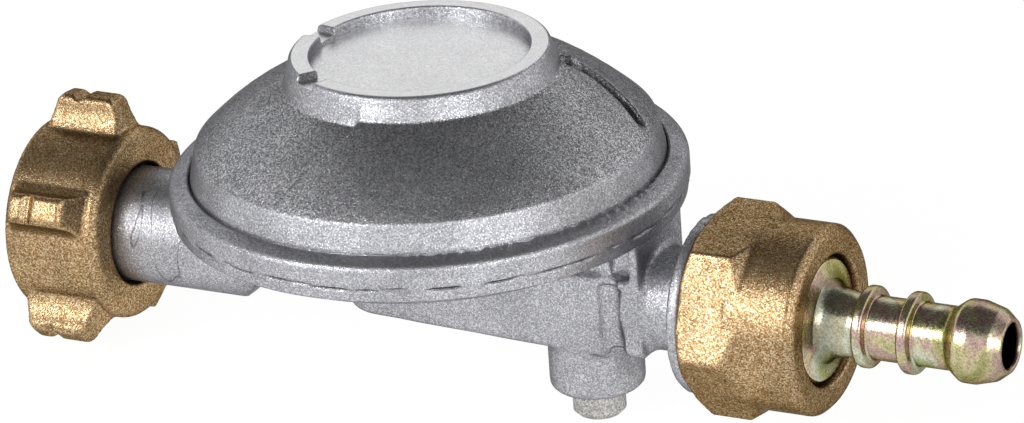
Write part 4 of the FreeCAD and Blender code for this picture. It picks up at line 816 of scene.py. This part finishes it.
def passivated(name):
    """Yellow passivated zinc: gold that drifts to olive, rose and pale silver in thin oil-like clouds, with
    painted shade on the flare and in the bore, which goes black, and a painted highlight on the collar's face."""
    made, tree = new_material(name)
    place = add(tree, "TexCoord").outputs["Object"]
    cloud = add(tree, "TexNoise", Vector=place, Scale=120.0, Detail=2.0, Roughness=0.5, Distortion=0.8)
    speck = add(tree, "TexNoise", Vector=place, Scale=3300.0, Detail=2.0, Roughness=0.75).outputs["Fac"]
    tint = add(tree, "ValToRGB", Fac=cloud.outputs["Fac"])
    ramp = tint.color_ramp
    ramp.elements[0].position, ramp.elements[0].color = CLOUDS[0]
    ramp.elements[1].position, ramp.elements[1].color = CLOUDS[-1]
    for position, colour in CLOUDS[1:-1]:
        ramp.elements.new(position).color = colour
    spot = add(tree, "SeparateXYZ", Vector=place).outputs
    flare, collar = [[HOUSING_X + end * MM for end in span] for span in (FLARE, COLLAR_FACE)]
    # Painted shade darkens the flare and a painted highlight brightens the collar's face; below, painted shade
    # blackens the bore.
    foot = ranged(tree, spot["X"], flare, (FLARE_SHADE, 1.0), smooth=True)
    foot = times(tree, foot, ranged(tree, spot["X"], collar, (COLLAR_HIGHLIGHT, 1.0)))
    flat = add(tree, "CombineXYZ", Y=spot["Y"], Z=spot["Z"]).outputs["Vector"]
    reach = add(tree, "VectorMath", {"operation": "DISTANCE"}, _0=flat, _1=(0.0, 0.0, 0.0)).outputs["Value"]
    bore_shade = ranged(tree, reach, [end * MM for end in BORE_MOUTH], (BORE_SHADE, 1.0))
    shade = times(tree, times(tree, ranged(tree, speck, SPECKS, (0.55, 1.3)), foot), bore_shade)
    colour = add(tree, "VectorMath", {"operation": "SCALE"}, Vector=tint.outputs["Color"], Scale=shade)
    dull = ranged(tree, speck, SPECKS, (0.16, 0.30))
    relief = add(tree, "Bump", Strength=1.0, Distance=0.014 * MM, Height=speck).outputs["Normal"]
    face = add(tree, "BsdfPrincipled", Base_Color=colour.outputs["Vector"], Metallic=1.0, Roughness=dull,
               Normal=relief)
    face.inputs["Specular Tint"].default_value = (0.25, 0.22, 0.16, 1)
    finish(tree, face)
    return made


tail = link_mesh("plated_tail", tail_mesh, passivated("yellow_passivate"))
declare(tail, "outlet_tail", "hose_tail")


# Inner pieces
# What the housing, the stem and the nuts hold, each as the shop leaves it: turned brass, pressed and
# plated steel, oiled spring wire, sintered bronze, drawn zinc and moulded nitrile rubber.
RUBBER_BLACK = (0.018, 0.018, 0.019, 1)
RUBBER_BLOOM = (0.060, 0.058, 0.056, 1)
RUBBER_GREEN = (0.020, 0.055, 0.040, 1)
PLATED = ((0.50, 0.50, 0.52, 1), (0.66, 0.66, 0.68, 1), (0.80, 0.80, 0.81, 1))
OILED = ((0.20, 0.20, 0.21, 1), (0.33, 0.33, 0.34, 1), (0.50, 0.50, 0.50, 1))
BRONZE = ((0.16, 0.09, 0.04, 1), (0.45, 0.28, 0.13, 1), (0.75, 0.52, 0.28, 1))


def rubber(name, base):
    """Moulded rubber: nearly matt, with a faint bloom in broad clouds and a fine moulding grain."""
    made, tree = new_material(name)
    place = add(tree, "TexCoord").outputs["Object"]
    cloud = add(tree, "TexNoise", Vector=place, Scale=260.0, Detail=4.0).outputs["Fac"]
    grain = add(tree, "TexNoise", Vector=place, Scale=5200.0, Detail=1.0).outputs["Fac"]
    share = ranged(tree, cloud, (0.45, 0.7), (0.0, 0.8))
    colour = add(tree, "Mix", {"data_type": "RGBA"}, Factor=share, _6=base, _7=RUBBER_BLOOM).outputs[2]
    dull = ranged(tree, cloud, (0.3, 0.7), (0.55, 0.75))
    relief = add(tree, "Bump", Strength=1.0, Distance=0.01 * MM, Height=grain).outputs["Normal"]
    finish(tree, add(tree, "BsdfPrincipled", Base_Color=colour, Roughness=dull, Normal=relief))
    return made


plated_steel = turned("plated_steel", PLATED, (0.24, 0.38))
spring_wire = turned("oiled_spring_wire", OILED, (0.20, 0.32), stains=0.3)
sintered = metal("sintered_bronze", BRONZE, grain=0.3, bump=0.09, rough=(0.45, 0.6), edge=0.1)
for material, names in (
        (lathe_brass, ("inlet_nipple", "orifice_nozzle", "diaphragm_stem", "valve_plunger")),
        (plated_steel, ("nut_slip_washer", "diaphragm_plate", "diaphragm_washer", "lever_bracket", "lever",
                        "lever_pin", "bracket_screws")),
        (sintered, ("inlet_filter",)),
        (plug_zinc, ("adjusting_ring",)),
        (rubber("nitrile", RUBBER_BLACK), ("outlet_gasket", "valve_pad", "diaphragm")),
        (rubber("inlet_nitrile", RUBBER_GREEN), ("inlet_seal",))):
    for name in names:
        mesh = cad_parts[name].data
        mesh.materials.clear()
        mesh.materials.append(material)


# Main spring
# The coil between the diaphragm's plate and the adjusting ring.
spring = welded_copy("main_spring", "pressure_spring", spring_wire)
declare(spring, "regulator_body", "main_spring")
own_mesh(spring)
